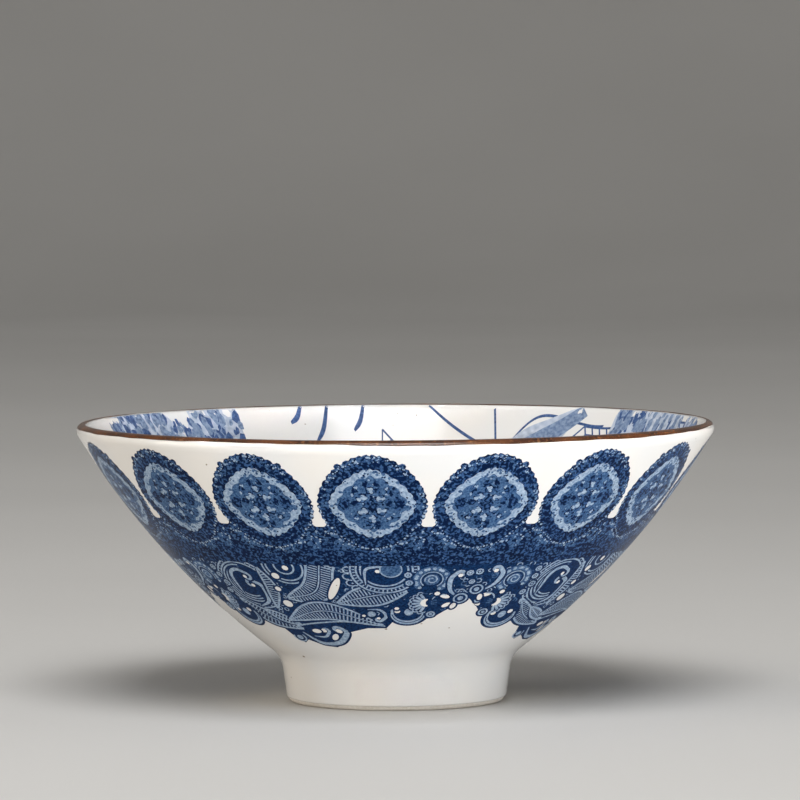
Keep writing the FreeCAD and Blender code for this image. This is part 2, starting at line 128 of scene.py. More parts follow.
def joined(*stretches):
    """Join stretches of profile end to end, dropping the repeated points."""
    return np.vstack([stretches[0]] + [stretch[1:] for stretch in stretches[1:]])


def foot_profile():
    """Give the glazed side of the foot, from the glaze line up through the hollow curve."""
    low = (FOOT_RADIUS, GLAZE_LINE)
    reach = math.dist(low, FOOT_CURVE_CENTRE)
    slope = direction(low, FOOT_CURVE_CENTRE) + math.asin(FOOT_CURVE_RADIUS / reach)
    length = math.sqrt(reach**2 - FOOT_CURVE_RADIUS**2)
    high = (low[0] + length * math.cos(slope), low[1] + length * math.sin(slope))
    start = direction(FOOT_CURVE_CENTRE, high)
    end = direction(FOOT_CURVE_CENTRE, WALL_CENTRE)
    return joined(
        line_profile(low, high),
        arc_profile(FOOT_CURVE_CENTRE, FOOT_CURVE_RADIUS, start, end, hollow=True),
    )


def outer_profile():
    """Give the outside, from the glaze line up to the top of the lip."""
    start = direction(WALL_CENTRE, FOOT_CURVE_CENTRE)
    end = direction(WALL_CENTRE, LIP_CENTRE)
    return joined(
        foot_profile(),
        arc_profile(WALL_CENTRE, WALL_RADIUS, start, end),
        arc_profile(LIP_CENTRE, LIP_RADIUS, end, math.pi / 2),
    )


def inner_profile():
    """Give the inside, from the top of the lip down to the axis."""
    start = direction(INSIDE_CENTRE, LIP_CENTRE)
    end = direction(INSIDE_CENTRE, BOWL_CENTRE)
    return joined(
        arc_profile(LIP_CENTRE, LIP_RADIUS, math.pi / 2, start + math.pi),
        arc_profile(INSIDE_CENTRE, INSIDE_RADIUS, start, end, hollow=True),
        arc_profile(BOWL_CENTRE, BOWL_RADIUS, end, -math.pi / 2, hollow=True),
    )


def rim_profile(outside, inside):
    """Give the brown rim over the lip. Its edges lie this far beyond their usual places."""
    low = math.asin((RIM_LOW - LIP_CENTRE[1]) / LIP_RADIUS) - outside / LIP_RADIUS
    high = math.acos((RIM_INSIDE - LIP_CENTRE[0]) / LIP_RADIUS) + inside / LIP_RADIUS
    return arc_profile(LIP_CENTRE, LIP_RADIUS, low, high)


def well_profile():
    """Give the glazed hollow under the bowl, from the axis out and down to the glaze line."""
    corner = (WELL_RADIUS - WELL_TAPER - WELL_CORNER, WELL_HEIGHT - WELL_CORNER)
    return joined(
        line_profile((0, WELL_HEIGHT), (corner[0], WELL_HEIGHT)),
        arc_profile(corner, WELL_CORNER, math.pi / 2, 0, hollow=True),
        line_profile((corner[0] + WELL_CORNER, corner[1]), (WELL_RADIUS, GLAZE_LINE)),
    )


def coat_section(profile, under, over=0.0, round_start=True, round_end=True, rings=None):
    """Give a closed section from under a profile to over it, rounded off where it ends."""
    steps = np.hypot(*np.diff(profile[:, :2], axis=0).T)
    lengths = np.concatenate([[0.0], np.cumsum(steps)])
    start = COAT_EDGE if round_start else 0.0
    end = lengths[-1] - (COAT_EDGE if round_end else 0.0)
    count = rings or round((end - start) / RING_STEP) + 2
    wanted = [np.linspace(start, end, count)]
    if round_start:
        wanted.insert(0, EDGE_SHARES[:-1] * COAT_EDGE)
    if round_end:
        wanted.append(lengths[-1] - EDGE_SHARES[:-1][::-1] * COAT_EDGE)
    wanted = np.concatenate(wanted)
    points = np.stack([np.interp(wanted, lengths, column) for column in profile.T], axis=1)
    from_start = wanted if round_start else wanted + COAT_EDGE
    from_end = lengths[-1] - wanted if round_end else lengths[-1] - wanted + COAT_EDGE
    share = np.clip(np.minimum(from_start, from_end) / COAT_EDGE, 0, 1)
    rise = (under + over) * np.sqrt(1 - (1 - share) ** 2) - under
    front = points[:, :2] + points[:, 2:] * rise[:, None]
    back = points[:, :2] - points[:, 2:] * under
    keep = slice(1 if round_start else None, -1 if round_end else None)
    return np.vstack([front, back[keep][::-1]])


# ---------------------------------------------------------------- meshes


def new_object(name, vertices, faces, materials):
    """Make a smooth mesh object from vertices in millimetres."""
    mesh = bpy.data.meshes.new(name)
    mesh.from_pydata((np.asarray(vertices) * MM).tolist(), [], np.asarray(faces, object).tolist())
    for material in materials:
        mesh.materials.append(material)
    mesh.shade_smooth()
    item = bpy.data.objects.new(name, mesh)
    bpy.context.scene.collection.objects.link(item)
    return item


def make_piece(name, vertices, faces, materials, slots=None):
    """Make an object that rides on the cup. slots gives each face's material."""
    piece = new_object(name, vertices, faces, materials)
    if slots is not None:
        piece.data.polygons.foreach_set("material_index", np.asarray(slots, np.int32))
    piece.data.update()
    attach(piece, "root")
    return piece


def turned(name, sections, material):
    """Turn a closed section about the axis. It may be one section, or one for each angle."""
    angles = np.arange(SEGMENTS) * 2 * math.pi / SEGMENTS
    sections = np.asarray(sections)
    if sections.ndim == 2:
        sections = np.broadcast_to(sections, (SEGMENTS, *sections.shape))
    count = sections.shape[1]
    radii, heights = sections[..., 0], sections[..., 1]
    vertices = np.stack(
        [radii * np.cos(angles)[:, None], radii * np.sin(angles)[:, None], heights], axis=2
    ).reshape(-1, 3)
    here = np.arange(SEGMENTS)[:, None] * count + np.arange(count)
    above = np.roll(here, -1, axis=1)
    beside, across = np.roll(here, -1, axis=0), np.roll(above, -1, axis=0)
    faces = np.stack([here, beside, across, above], axis=2).reshape(-1, 4)
    piece = make_piece(name, vertices, faces, [material])
    shape = bmesh.new()
    shape.from_mesh(piece.data)
    bmesh.ops.remove_doubles(shape, verts=shape.verts, dist=SAME_PLACE)
    bmesh.ops.dissolve_degenerate(shape, edges=shape.edges, dist=SAME_PLACE)
    bmesh.ops.recalc_face_normals(shape, faces=shape.faces)
    shape.to_mesh(piece.data)
    shape.free()
    return piece


# ---------------------------------------------------------------- materials


class Paint:
    """A material's node tree, with short ways to add the nodes that patterns need."""

    def __init__(self, name, roughness, shine=0.5):
        self.material = bpy.data.materials.new(name)
        self.material.use_nodes = True
        self.tree = self.material.node_tree
        self.shader = self.tree.nodes["Principled BSDF"]
        self.shader.inputs["Roughness"].default_value = roughness
        self.shader.inputs["Specular IOR Level"].default_value = shine
        self.place = self.tree.nodes.new("ShaderNodeTexCoord").outputs["Object"]

    def noise(self, grain, detail=2.0):
        """Add noise whose features are about this many millimetres across."""
        node = self.tree.nodes.new("ShaderNodeTexNoise")
        node.inputs["Scale"].default_value = 1 / (grain * MM)
        node.inputs["Detail"].default_value = detail
        self.tree.links.new(self.place, node.inputs["Vector"])
        return node.outputs["Fac"]

    def between(self, value, low, high):
        """Stretch a value so that low becomes 0 and high becomes 1."""
        node = self.tree.nodes.new("ShaderNodeMapRange")
        node.inputs["From Min"].default_value = low
        node.inputs["From Max"].default_value = high
        self.tree.links.new(value, node.inputs["Value"])
        return node.outputs["Result"]

    def blend(self, share, first, second):
        """Mix two colours, each given as numbers or as a socket."""
        node = self.tree.nodes.new("ShaderNodeMix")
        node.data_type = "RGBA"
        self.tree.links.new(share, node.inputs["Factor"])
        for socket, colour in (("A", first), ("B", second)):
            target = next(s for s in node.inputs if s.name == socket and s.type == "RGBA")
            if isinstance(colour, tuple):
                target.default_value = (*colour, 1.0)
            else:
                self.tree.links.new(colour, target)
        return next(s for s in node.outputs if s.type == "RGBA")

    def colour(self, socket):
        """Use a socket as the surface's colour."""
        self.tree.links.new(socket, self.shader.inputs["Base Color"])

    def bump(self, height, depth):
        """Let a value raise the surface by this many millimetres."""
        node = self.tree.nodes.new("ShaderNodeBump")
        node.inputs["Distance"].default_value = depth * MM
        self.tree.links.new(height, node.inputs["Height"])
        self.tree.links.new(node.outputs["Normal"], self.shader.inputs["Normal"])


WHITE = (0.82, 0.79, 0.745)
COOL_WHITE = (0.77, 0.77, 0.765)
SPECK = (0.30, 0.24, 0.18)


def glaze_material():
    """Clear glaze over porcelain: nearly white, a little uneven in tint and surface."""
    paint = Paint("white_glaze", 0.16, shine=0.4)
    tint = paint.blend(paint.between(paint.noise(14), 0.35, 0.65), WHITE, COOL_WHITE)
    specks = paint.between(paint.noise(0.7, detail=0), 0.86, 0.885)
    paint.colour(paint.blend(specks, tint, SPECK))
    paint.bump(paint.noise(9, detail=1), 0.03)
    return paint.material


def porcelain_material():
    """Bare porcelain: matt and slightly warm."""
    paint = Paint("porcelain", 0.6)
    grain = paint.between(paint.noise(0.4), 0.3, 0.7)
    paint.colour(paint.blend(grain, (0.66, 0.61, 0.54), (0.74, 0.70, 0.64)))
    paint.bump(grain, 0.01)
    return paint.material


def rim_material():
    """Iron-brown rim: reddish, darker and lighter in patches."""
    paint = Paint("brown_glaze", 0.22, shine=0.5)
    patches = paint.between(paint.noise(3.5, detail=3), 0.35, 0.65)
    brown = paint.blend(patches, (0.045, 0.017, 0.009), (0.12, 0.042, 0.014))
    mottle = paint.between(paint.noise(0.5), 0.55, 0.75)
    paint.colour(paint.blend(mottle, brown, (0.20, 0.085, 0.032)))
    return paint.material


def ink_material(name, dark, light, grain, spread, share=0.5):
    """Cobalt under the glaze, stippled from dark to light. share says where the two meet."""
    paint = Paint(name, 0.3, shine=0.05)
    stipple = paint.between(paint.noise(grain, detail=1), share - spread, share + spread)
    patches = paint.between(paint.noise(4.0), 0.3, 0.7)
    shade = tuple(value * 0.6 for value in dark)
    paint.colour(paint.blend(stipple, paint.blend(patches, dark, shade), light))
    return paint.material


# ---------------------------------------------------------------- shapes
# A path is an array of points in millimetres, x to the right and y up. A shape is a list of polygons.

PATH_STEP = 0.42                    # spacing of the points of a curve
LONGEST_EDGE = 0.8                  # longer edges are split, so that they follow the wall
SMALLEST_AREA = 1e-5                # smaller shapes are left out
CUT_SLACK = 1e-4                    # points closer than this are taken as one
TINY = 1e-9                         # keeps a division away from zero


def arc(centre, radius, start, end):
    """Give a path along an arc between two angles in degrees. radius may be one number or two."""
    across, up = radius if isinstance(radius, tuple) else (radius, radius)
    sweep = math.radians(end - start)
    count = max(5, math.ceil(abs(sweep) * max(across, up) / PATH_STEP) + 1)
    angles = math.radians(start) + np.linspace(0, sweep, count)
    return np.stack([centre[0] + across * np.cos(angles), centre[1] + up * np.sin(angles)], axis=1)


def spiral(centre, inner, outer, start, end):
    """Give a path that winds from one radius to another between two angles in degrees."""
    sweep = math.radians(end - start)
    count = max(8, math.ceil(abs(sweep) * (inner + outer) / 2 / PATH_STEP) + 1)
    angles = math.radians(start) + np.linspace(0, sweep, count)
    radii = np.linspace(inner, outer, count)
    return np.stack([centre[0] + radii * np.cos(angles), centre[1] + radii * np.sin(angles)], axis=1)


def curve(*knots):
    """Give a smooth path through some points."""
    knots = np.array(knots, float)
    padded = np.vstack([2 * knots[0] - knots[1], knots, 2 * knots[-1] - knots[-2]])
    path = [knots[:1]]
    for before, start, end, after in zip(padded, padded[1:], padded[2:], padded[3:]):
        count = max(2, math.ceil(math.dist(start, end) / PATH_STEP) + 1)
        share = np.linspace(0, 1, count)[1:, None]
        bend = (2 * before - 5 * start + 4 * end - after) * share**2
        twist = (3 * start - before - 3 * end + after) * share**3
        path.append(0.5 * (2 * start + (end - before) * share + bend + twist))
    return np.vstack(path)


def sides_of(path, width, ends=(1.0, 1.0)):
    """Give the left and right edges of a stroke, whose ends may be narrower or wider."""
    along = np.gradient(path, axis=0)
    if np.allclose(path[0], path[-1]):
        along[0] = along[-1] = path[1] - path[-2]
    along /= np.maximum(np.hypot(along[:, 0], along[:, 1]), TINY)[:, None]
    across = np.stack([-along[:, 1], along[:, 0]], axis=1)
    share = np.linspace(0, 1, len(path))
    swell = np.sin(math.pi * share)
    edge = ends[0] + (ends[1] - ends[0]) * share
    half = width / 2 * (edge + (1 - edge) * swell)
    return path + across * half[:, None], path - across * half[:, None]


def stroke(path, width, ends=(1.0, 1.0)):
    """Draw along a path."""
    left, right = sides_of(path, width, ends)
    return list(np.stack([left[:-1], right[:-1], right[1:], left[1:]], axis=1))


def disc(centre, radius):
    """Draw a filled circle or ellipse."""
    return [arc(centre, radius, 0, 360)[:-1]]


def blob(centre, radius, chance):
    """Draw a small uneven spot."""
    angles = np.linspace(0, 2 * math.pi, 7)[:-1] + chance.uniform(0, 1)
    radii = radius * np.array([chance.uniform(0.6, 1.25) for _ in angles])
    return [np.stack([centre[0] + radii * np.cos(angles), centre[1] + radii * np.sin(angles)], axis=1)]


def beads(path, count, radius):
    """Draw discs evenly along a path."""
    spots = path[np.linspace(0, len(path) - 1, count).round().astype(int)]
    return [disc(spot, radius)[0] for spot in spots]


def rungs(left, right, gap, width, inset=0.12):
    """Draw bars between two paths of equal length, about a gap apart."""
    middle = (left + right) / 2
    lengths = np.concatenate([[0], np.cumsum(np.hypot(*np.diff(middle, axis=0).T))])
    bars = []
    for spot in np.arange(gap, lengths[-1] - gap / 2, gap):
        ends = [np.array([np.interp(spot, lengths, column) for column in side.T])
                for side in (left, right)]
        start = ends[0] + (ends[1] - ends[0]) * inset
        end = ends[1] - (ends[1] - ends[0]) * inset
        bars += stroke(np.stack([start, end]), width)
    return bars


class Drawing:
    """Shapes that cover one another on a flat sheet, each in an ink."""

    def __init__(self, spread):
        self.spread = spread            # moves points near a place to the sheet
        self.polygons = []
        self.inks = []

    def add(self, ink, shapes, at=(0.0, 0.0), spin=0.0, size=1.0, flip=False):
        """Add shapes, turned by spin degrees, at a place. Without a place they are the sheet's own."""
        cosine, sine = math.cos(math.radians(spin)), math.sin(math.radians(spin))
        turn = np.array([[cosine, sine], [-sine, cosine]]) * size
        for shape in shapes:
            points = np.asarray(shape) * ([-1, 1] if flip else [1, 1])
            if len(points) == 4:
                points = uncrossed(points)
            points = subdivided(points @ turn)
            points = self.spread(points, at) if at is not None else points
            ahead = np.roll(points, -1, axis=0)
            area = np.sum(points[:, 0] * ahead[:, 1] - ahead[:, 0] * points[:, 1]) / 2
            if abs(area) < SMALLEST_AREA:
                continue
            self.polygons.append(points if area > 0 else points[::-1])
            self.inks.append(ink)

    def triangles(self, grid):
        """Cut the sheet into triangles, each in the ink that was laid there last."""
        points = np.vstack(self.polygons + [grid])
        ends = np.cumsum([len(polygon) for polygon in self.polygons])
        outlines = [list(range(end - len(p), end)) for end, p in zip(ends, self.polygons)]
        result = delaunay_2d_cdt([Vector(p) for p in points.tolist()], [], outlines, 1, CUT_SLACK)
        flat = np.array([vertex[:] for vertex in result[0]])
        inks = [self.inks[max(origins)] if origins else PAPER for origins in result[5]]
        corners = [list(face) for face in result[2]]
        return flat, np.array(corners), inks


def uncrossed(points):
    """Put a stroke's four corners in order round their middle, as a tight bend may cross them."""
    spokes = points - points.mean(axis=0)
    return points[np.argsort(np.arctan2(spokes[:, 1], spokes[:, 0]))]


def subdivided(outline):
    """Split an outline's long edges."""
    ahead = np.roll(outline, -1, axis=0)
    pieces = []
    for start, end in zip(outline, ahead):
        count = max(1, math.ceil(math.dist(start, end) / LONGEST_EDGE))
        pieces.append(np.linspace(start, end, count + 1)[:-1])
    return np.vstack(pieces)


# ---------------------------------------------------------------- prints
# The sheet for the outside has the distance round the wall as x, measured at SHEET_RADIUS, and the
# distance up the wall as y. A place on it is given as degrees and millimetres down the wall.

PRINT_TOP = 38.0                    # height that depths down the wall start from
SHEET_RADIUS = 30.0
TOP_LEAN = math.asin((PRINT_TOP - WALL_CENTRE[1]) / WALL_RADIUS)
SEAM_SLACK = 1e-3                   # points this near to a sheet's edge are on it
WELD_REACH = 0.012                  # and those on two copies' edges are joined when this near
BACK_SLACK = 1e-7                   # points of a film's back closer than this are taken as one

PAPER, DEEP, MID, PALE = "paper", "deep", "mid", "pale"


def lean_at(depth):
    """Give the wall's angle about its arc's centre, this far down from the top of the prints."""
    return TOP_LEAN - np.asarray(depth) / WALL_RADIUS


def radius_at(depth):
    """Give the wall's radius this far down."""
    return WALL_CENTRE[0] + WALL_RADIUS * np.cos(lean_at(depth))


def depth_at(height):
    """Give how far down the wall a height lies."""
    return (TOP_LEAN - math.asin((height - WALL_CENTRE[1]) / WALL_RADIUS)) * WALL_RADIUS


def spread_on_wall(points, at):
    """Move local points to the outside's sheet, so that shapes keep their size on the wall."""
    depth = at[1] - points[:, 1]
    turn = math.radians(at[0]) + points[:, 0] / radius_at(depth)
    return np.stack([turn * SHEET_RADIUS, -depth], axis=1)


def onto_wall(points, proud):
    """Lay sheet points on the outer wall. Give the vertices and the surface's normals."""
    turn = points[:, 0] / SHEET_RADIUS - math.pi / 2
    lean = lean_at(-points[:, 1])
    reach = WALL_CENTRE[0] + (WALL_RADIUS + proud) * np.cos(lean)
    height = WALL_CENTRE[1] + (WALL_RADIUS + proud) * np.sin(lean)
    vertices = np.stack([reach * np.cos(turn), reach * np.sin(turn), height], axis=1)
    normals = np.stack([np.cos(lean) * np.cos(turn), np.cos(lean) * np.sin(turn), np.sin(lean)], axis=1)
    return vertices, normals


def within(places, starts, ends):
    """Say which places lie inside the outline made by some edges."""
    inside = []
    for x, y in places:
        crossed = (starts[:, 1] > y) != (ends[:, 1] > y)
        low, high = starts[crossed], ends[crossed]
        reach = low[:, 0] + (y - low[:, 1]) / (high[:, 1] - low[:, 1]) * (high[:, 0] - low[:, 0])
        inside.append(np.count_nonzero(reach > x) % 2 == 1)
    return np.array(inside)


def backing(points, edges, grid):
    """Cut the area inside some edges into few triangles. Give the points added and the corners."""
    starts, ends = points[edges[:, 0]], points[edges[:, 1]]
    rim, local = np.unique(edges, return_inverse=True)
    added = grid[within(grid, starts, ends)]
    places = [Vector(place) for place in np.vstack([points[rim], added]).tolist()]
    result = delaunay_2d_cdt(places, local.reshape(-1, 2).tolist(), [], 0, BACK_SLACK)
    numbers = np.concatenate([rim, len(points) + np.arange(len(added))])
    numbers = np.array([numbers[min(origins)] for origins in result[3]])
    flat = np.array([vertex[:] for vertex in result[0]])
    corners = np.array([list(face) for face in result[2]])
    kept = within(flat[corners].mean(axis=1), starts, ends)
    return added, numbers[corners[kept]]


def printed_part(sheet, inks):
    """Pick a sheet's triangles in some inks.

    Give their points, corners, ink numbers and edges, and which edges no other triangle shares.
    """
    points, corners, laid, _ = sheet
    order = list(inks)
    used, corners = np.unique(corners[[ink in inks for ink in laid]], return_inverse=True)
    corners = corners.reshape(-1, 3)
    tones = np.array([order.index(ink) for ink in laid if ink in inks])
    edges = np.vstack([corners[:, [0, 1]], corners[:, [1, 2]], corners[:, [2, 0]]])
    lone = ~np.isin(edges @ [len(used), 1], edges @ [1, len(used)])
    return points[used], corners, tones, edges, lone


def copied_round(vertices, normals, face_groups, repeats):
    """Repeat a mesh round the axis."""
    all_vertices, all_normals, faces = [], [], []
    for copy in range(repeats):
        angle = copy * 2 * math.pi / repeats
        cosine, sine = math.cos(angle), math.sin(angle)
        spin = np.array([[cosine, sine, 0], [-sine, cosine, 0], [0, 0, 1]])
        all_vertices.append(vertices @ spin)
        all_normals.append(normals @ spin)
        for group in face_groups:
            faces += (group + copy * len(vertices)).tolist()
    return np.vstack(all_vertices), np.vstack(all_normals), faces


def film(name, sheet, inks, onto, repeats=1, seam=None):
    """Make a printed film from the triangles in some inks, repeated round the axis.

    inks gives the material of each ink. Where the film crosses the sheet's left and right edges,
    at seam either side, its copies are welded to each other.
    """
    points, corners, tones, edges, lone = printed_part(sheet, inks)
    added, back = backing(points, edges[lone], sheet[-1])
    points = np.vstack([points, added])
    count = len(points)
    on_seam = np.zeros(count, bool)
    if seam is not None:
        on_seam = np.abs(np.abs(points[:, 0]) - seam) < SEAM_SLACK
        lone &= ~(on_seam[edges[:, 0]] & on_seam[edges[:, 1]])
    walls = edges[lone]
    walls = np.stack([walls[:, 1], walls[:, 0], walls[:, 0] + count, walls[:, 1] + count], axis=1)
    tops, normals = onto(points, FILM_PROUD)
    bottoms, _ = onto(points, -FILM_SUNK)
    triangles = np.vstack([corners, back[:, ::-1] + count])
    slots = np.concatenate([tones, np.zeros(len(back), int), np.tile(tones, 3)[lone]])
    whole = copied_round(np.vstack([tops, bottoms]), np.vstack([normals, -normals]),
                         (triangles, walls), repeats)
    vertices, normals, faces, kept = welded(*whole, np.tile(on_seam, 2 * repeats))
    slots = np.tile(slots, repeats)[kept]
    piece = make_piece(name, vertices, faces, list(inks.values()), slots)
    piece.data.normals_split_custom_set_from_vertices(normals.tolist())
    return piece


def welded(vertices, normals, faces, candidates):
    """Join the candidate vertices that lie at the same place.

    Give the vertices still used, their normals, the faces that keep an area and which faces those are.
    """
    spots = {}
    target = np.arange(len(vertices))
    for index in np.flatnonzero(candidates):
        cell = np.floor(vertices[index] / WELD_REACH).astype(int)
        near = [spot for shift in np.ndindex(3, 3, 3) for spot in spots.get(tuple(cell + shift - 1), [])]
        found = next((spot for spot in near
                      if np.abs(vertices[spot] - vertices[index]).max() < WELD_REACH), None)
        if found is None:
            spots.setdefault(tuple(cell), []).append(index)
        else:
            target[index] = found
    faces = [list(dict.fromkeys(target[face].tolist())) for face in faces]
    keys = [tuple(sorted(face)) for face in faces]
    copies = Counter(keys)
    kept = [index for index, key in enumerate(keys) if len(key) > 2 and copies[key] == 1]
    faces = [faces[index] for index in kept]
    used = np.unique(np.concatenate(faces))
    renumbered = np.zeros(len(vertices), int)
    renumbered[used] = np.arange(len(used))
    return vertices[used], normals[used], [renumbered[face].tolist() for face in faces], kept


def sheet_grid(half_width, low, high, spacing):
    """Give a grid of points over a sheet."""
    across = np.linspace(-half_width, half_width, round(2 * half_width / spacing) + 1)
    up = np.linspace(low, high, max(2, round((high - low) / spacing) + 1))
    return np.array([(x, y) for x in across for y in up])


# ---------------------------------------------------------------- medallions and band

MEDALLIONS = 16
MEDALLION_TURN = -4.5               # degrees from the front to a medallion's middle
MEDALLION_DEPTH = 8.8               # its middle lies this far down the wall
HALF_TILE = 180 / MEDALLIONS
GRID_STEP = 1.1                     # spacing of the points that keep the films round
TILE_TOP = 0.3                      # a medallion's tile starts this far down the wall
TILE_REACH = 0.97                   # the band's flecks keep within this share of the tile
BAND_TOP = depth_at(BAND_HIGH)
BAND_BOTTOM = depth_at(BAND_LOW)


def superellipse(half_width, half_height, powers, scallops=0, swell=0.0, start=0, end=360):
    """Give an egg shape with its own power above and below its middle, and scallops round it."""
    angles = np.radians(np.linspace(start, end, 121))
    across, up = np.cos(angles), np.sin(angles)
    power = 2 / np.where(up > 0, *powers)
    puff = 1 + swell * (np.abs(np.sin(scallops * angles / 2)) - 0.5)
    x = half_width * np.sign(across) * np.abs(across) ** power * puff
    y = half_height * np.sign(up) * np.abs(up) ** power * puff
    return np.stack([x, y], axis=1)


def medallion_outline(size, scallops=0, swell=0.0, start=0, end=360):
    """Give the medallion's outline at a share of its full size."""
    return superellipse(7.55 * size, 8.4 * size, (1.86, 1.68), scallops, swell, start, end)


def lens_outline(size, scallops=0, swell=0.0, start=0, end=360):
    """Give the outline of the medallion's pale ring, pointed left and right, at a share of its size."""
    return superellipse(5.85 * size, 5.95 * size, (1.56, 1.5), scallops, swell, start, end)


def draw_medallion(drawing):
    """Draw one medallion: a dark border, a pale flecked ring and a dark core with florets."""
    chance = random.Random(5)

    def add(ink, shapes):
        drawing.add("medal_" + ink, shapes, (0.0, MEDALLION_DEPTH))

    def flecks(ink, count, outline, inner, outer, small, large, start=0, end=360):
        """Scatter flecks between two sizes of an outline."""
        for _ in range(count):
            path = outline(chance.uniform(inner, outer), start=start, end=end)
            add(ink, blob(path[chance.randrange(len(path))], chance.uniform(small, large), chance))

    add(DEEP, [medallion_outline(0.985, 44, 0.045)[:-1]])
    for side in (-1, 1):
        add(DEEP, disc((4.4 * side, 6.4), 0.5))
        add(MID, disc((4.4 * side, 6.4), 0.16))
        add(DEEP, [np.array([(5.6, -4.2), (7.05, -4.2), (6.6, -3.9), (6.25, -3.2)]) * [side, 1]])
    flecks(MID, 92, medallion_outline, 0.8, 0.975, 0.14, 0.3, -15, 195)
    flecks(PALE, 40, medallion_outline, 0.9, 0.975, 0.09, 0.18, -10, 190)
    flecks(PALE, 22, medallion_outline, 0.86, 0.96, 0.1, 0.2, 35, 145)
    flecks(MID, 24, medallion_outline, 0.8, 0.96, 0.1, 0.18, 195, 345)
    for spot in medallion_outline(0.965, start=186, end=354)[::3]:
        spot = spot + [chance.gauss(0, 0.07), chance.gauss(0, 0.07)]
        add(PALE, blob(spot, chance.uniform(0.1, 0.24), chance))
    add(PALE, [lens_outline(1.0, 26, 0.05)[:-1]])
    flecks(MID, 52, lens_outline, 0.82, 1.0, 0.12, 0.3)
    flecks(DEEP, 34, lens_outline, 0.82, 1.0, 0.08, 0.19)
    add(MID, [lens_outline(0.8, 14, 0.1)[:-1]])
    flecks(DEEP, 84, lens_outline, 0.1, 0.8, 0.14, 0.34)
    flecks(PALE, 26, lens_outline, 0.2, 0.76, 0.1, 0.2)
    for side in (-1, 1):
        add(DEEP, blob((3.75 * side, 0.1), 0.85, chance))
        add(DEEP, blob((2.3 * side, 0.2), 0.62, chance))
    for turn in range(15, 375, 30):
        spot = lens_outline(0.62, start=turn, end=turn + 1)[0]
        add(DEEP, blob(spot, chance.uniform(0.42, 0.62), chance))
    florets = ((-1.35, 1.1, 0.72), (1.2, 1.0, 0.66), (-1.3, -1.25, 0.72), (1.25, -1.15, 0.68),
               (-0.1, 2.4, 0.55), (0.0, -2.6, 0.62), (-2.1, 2.9, 0.3), (2.1, 2.7, 0.3),
               (-2.2, -2.5, 0.32), (2.2, -2.4, 0.32))
    for x, y, size in florets:
        add(DEEP, blob((x, y), size * 1.25, chance))
        for petal in range(5):
            angle = petal * math.pi / 2.5 + x
            spot = (x + 0.55 * size * math.cos(angle), y + 0.55 * size * math.sin(angle))
            add(PALE if petal % 3 else MID, blob(spot, size * 0.5, chance))
        add(PALE, blob((x, y), size * 0.4, chance))
    add(DEEP, [np.array([(0, -1.5), (0.95, -0.1), (0, 1.4), (-0.95, -0.1)])])
    for _ in range(5):
        spot = (chance.gauss(0, 0.25), chance.gauss(0, 0.6))
        add(MID, blob(spot, chance.uniform(0.08, 0.16), chance))


def draw_band(drawing):
    """Draw one tile of the band: solid blue, stippled paler in a wave between the medallions."""
    chance = random.Random(9)
    edge = math.radians(HALF_TILE) * SHEET_RADIUS
    drawing.add("band_" + DEEP, [np.array([(-edge, -BAND_BOTTOM), (edge, -BAND_BOTTOM),
                                           (edge, -BAND_TOP), (-edge, -BAND_TOP)])], at=None)
    for ink, count, size in ((MID, 120, 0.4), (PALE, 46, 0.22)):
        for _ in range(count):
            turn = chance.uniform(-TILE_REACH, TILE_REACH)
            crest = BAND_TOP + 1.7 + 1.9 * (1 - abs(turn)) + 0.5 * math.sin(turn * 9)
            depth = chance.gauss(crest, 0.8)
            if BAND_TOP + 0.25 < depth < BAND_BOTTOM - 1.0:
                drawing.add("band_" + ink, blob((0, 0), chance.uniform(0.4, 1.0) * size, chance),
                            (turn * HALF_TILE, depth))
    for _ in range(70):
        depth = chance.uniform(BAND_TOP + 0.3, BAND_BOTTOM - 0.7)
        drawing.add("band_" + MID, blob((0, 0), chance.uniform(0.08, 0.2), chance),
                    (chance.uniform(-TILE_REACH, TILE_REACH) * HALF_TILE, depth))


def tile_sheet(drawing, half_turn, low, high):
    """Cut a tile's drawing into triangles, without what lies outside the tile."""
    edge = math.radians(half_turn) * SHEET_RADIUS
    grid = sheet_grid(edge, -high, -low, GRID_STEP)
    points, corners, inks = drawing.triangles(grid)
    middle = points[corners].mean(axis=1)
    inside = (np.abs(middle[:, 0]) < edge) & (middle[:, 1] > -high) & (middle[:, 1] < -low)
    return points, corners[inside], [ink for ink, kept in zip(inks, inside) if kept], grid


def new_tile(half_turn, low, high):
    """Start a tile's drawing as blank paper."""
    edge = math.radians(half_turn) * SHEET_RADIUS
    drawing = Drawing(spread_on_wall)
    drawing.add(PAPER, [np.array([(-edge, -high), (edge, -high), (edge, -low), (-edge, -low)])], at=None)
    return drawing


def wall_at(turn):
    """Give the function that lays a sheet on the wall, its middle turned from the front."""
    offset = math.radians(turn) * SHEET_RADIUS
    return lambda points, proud: onto_wall(points + [offset, 0], proud)


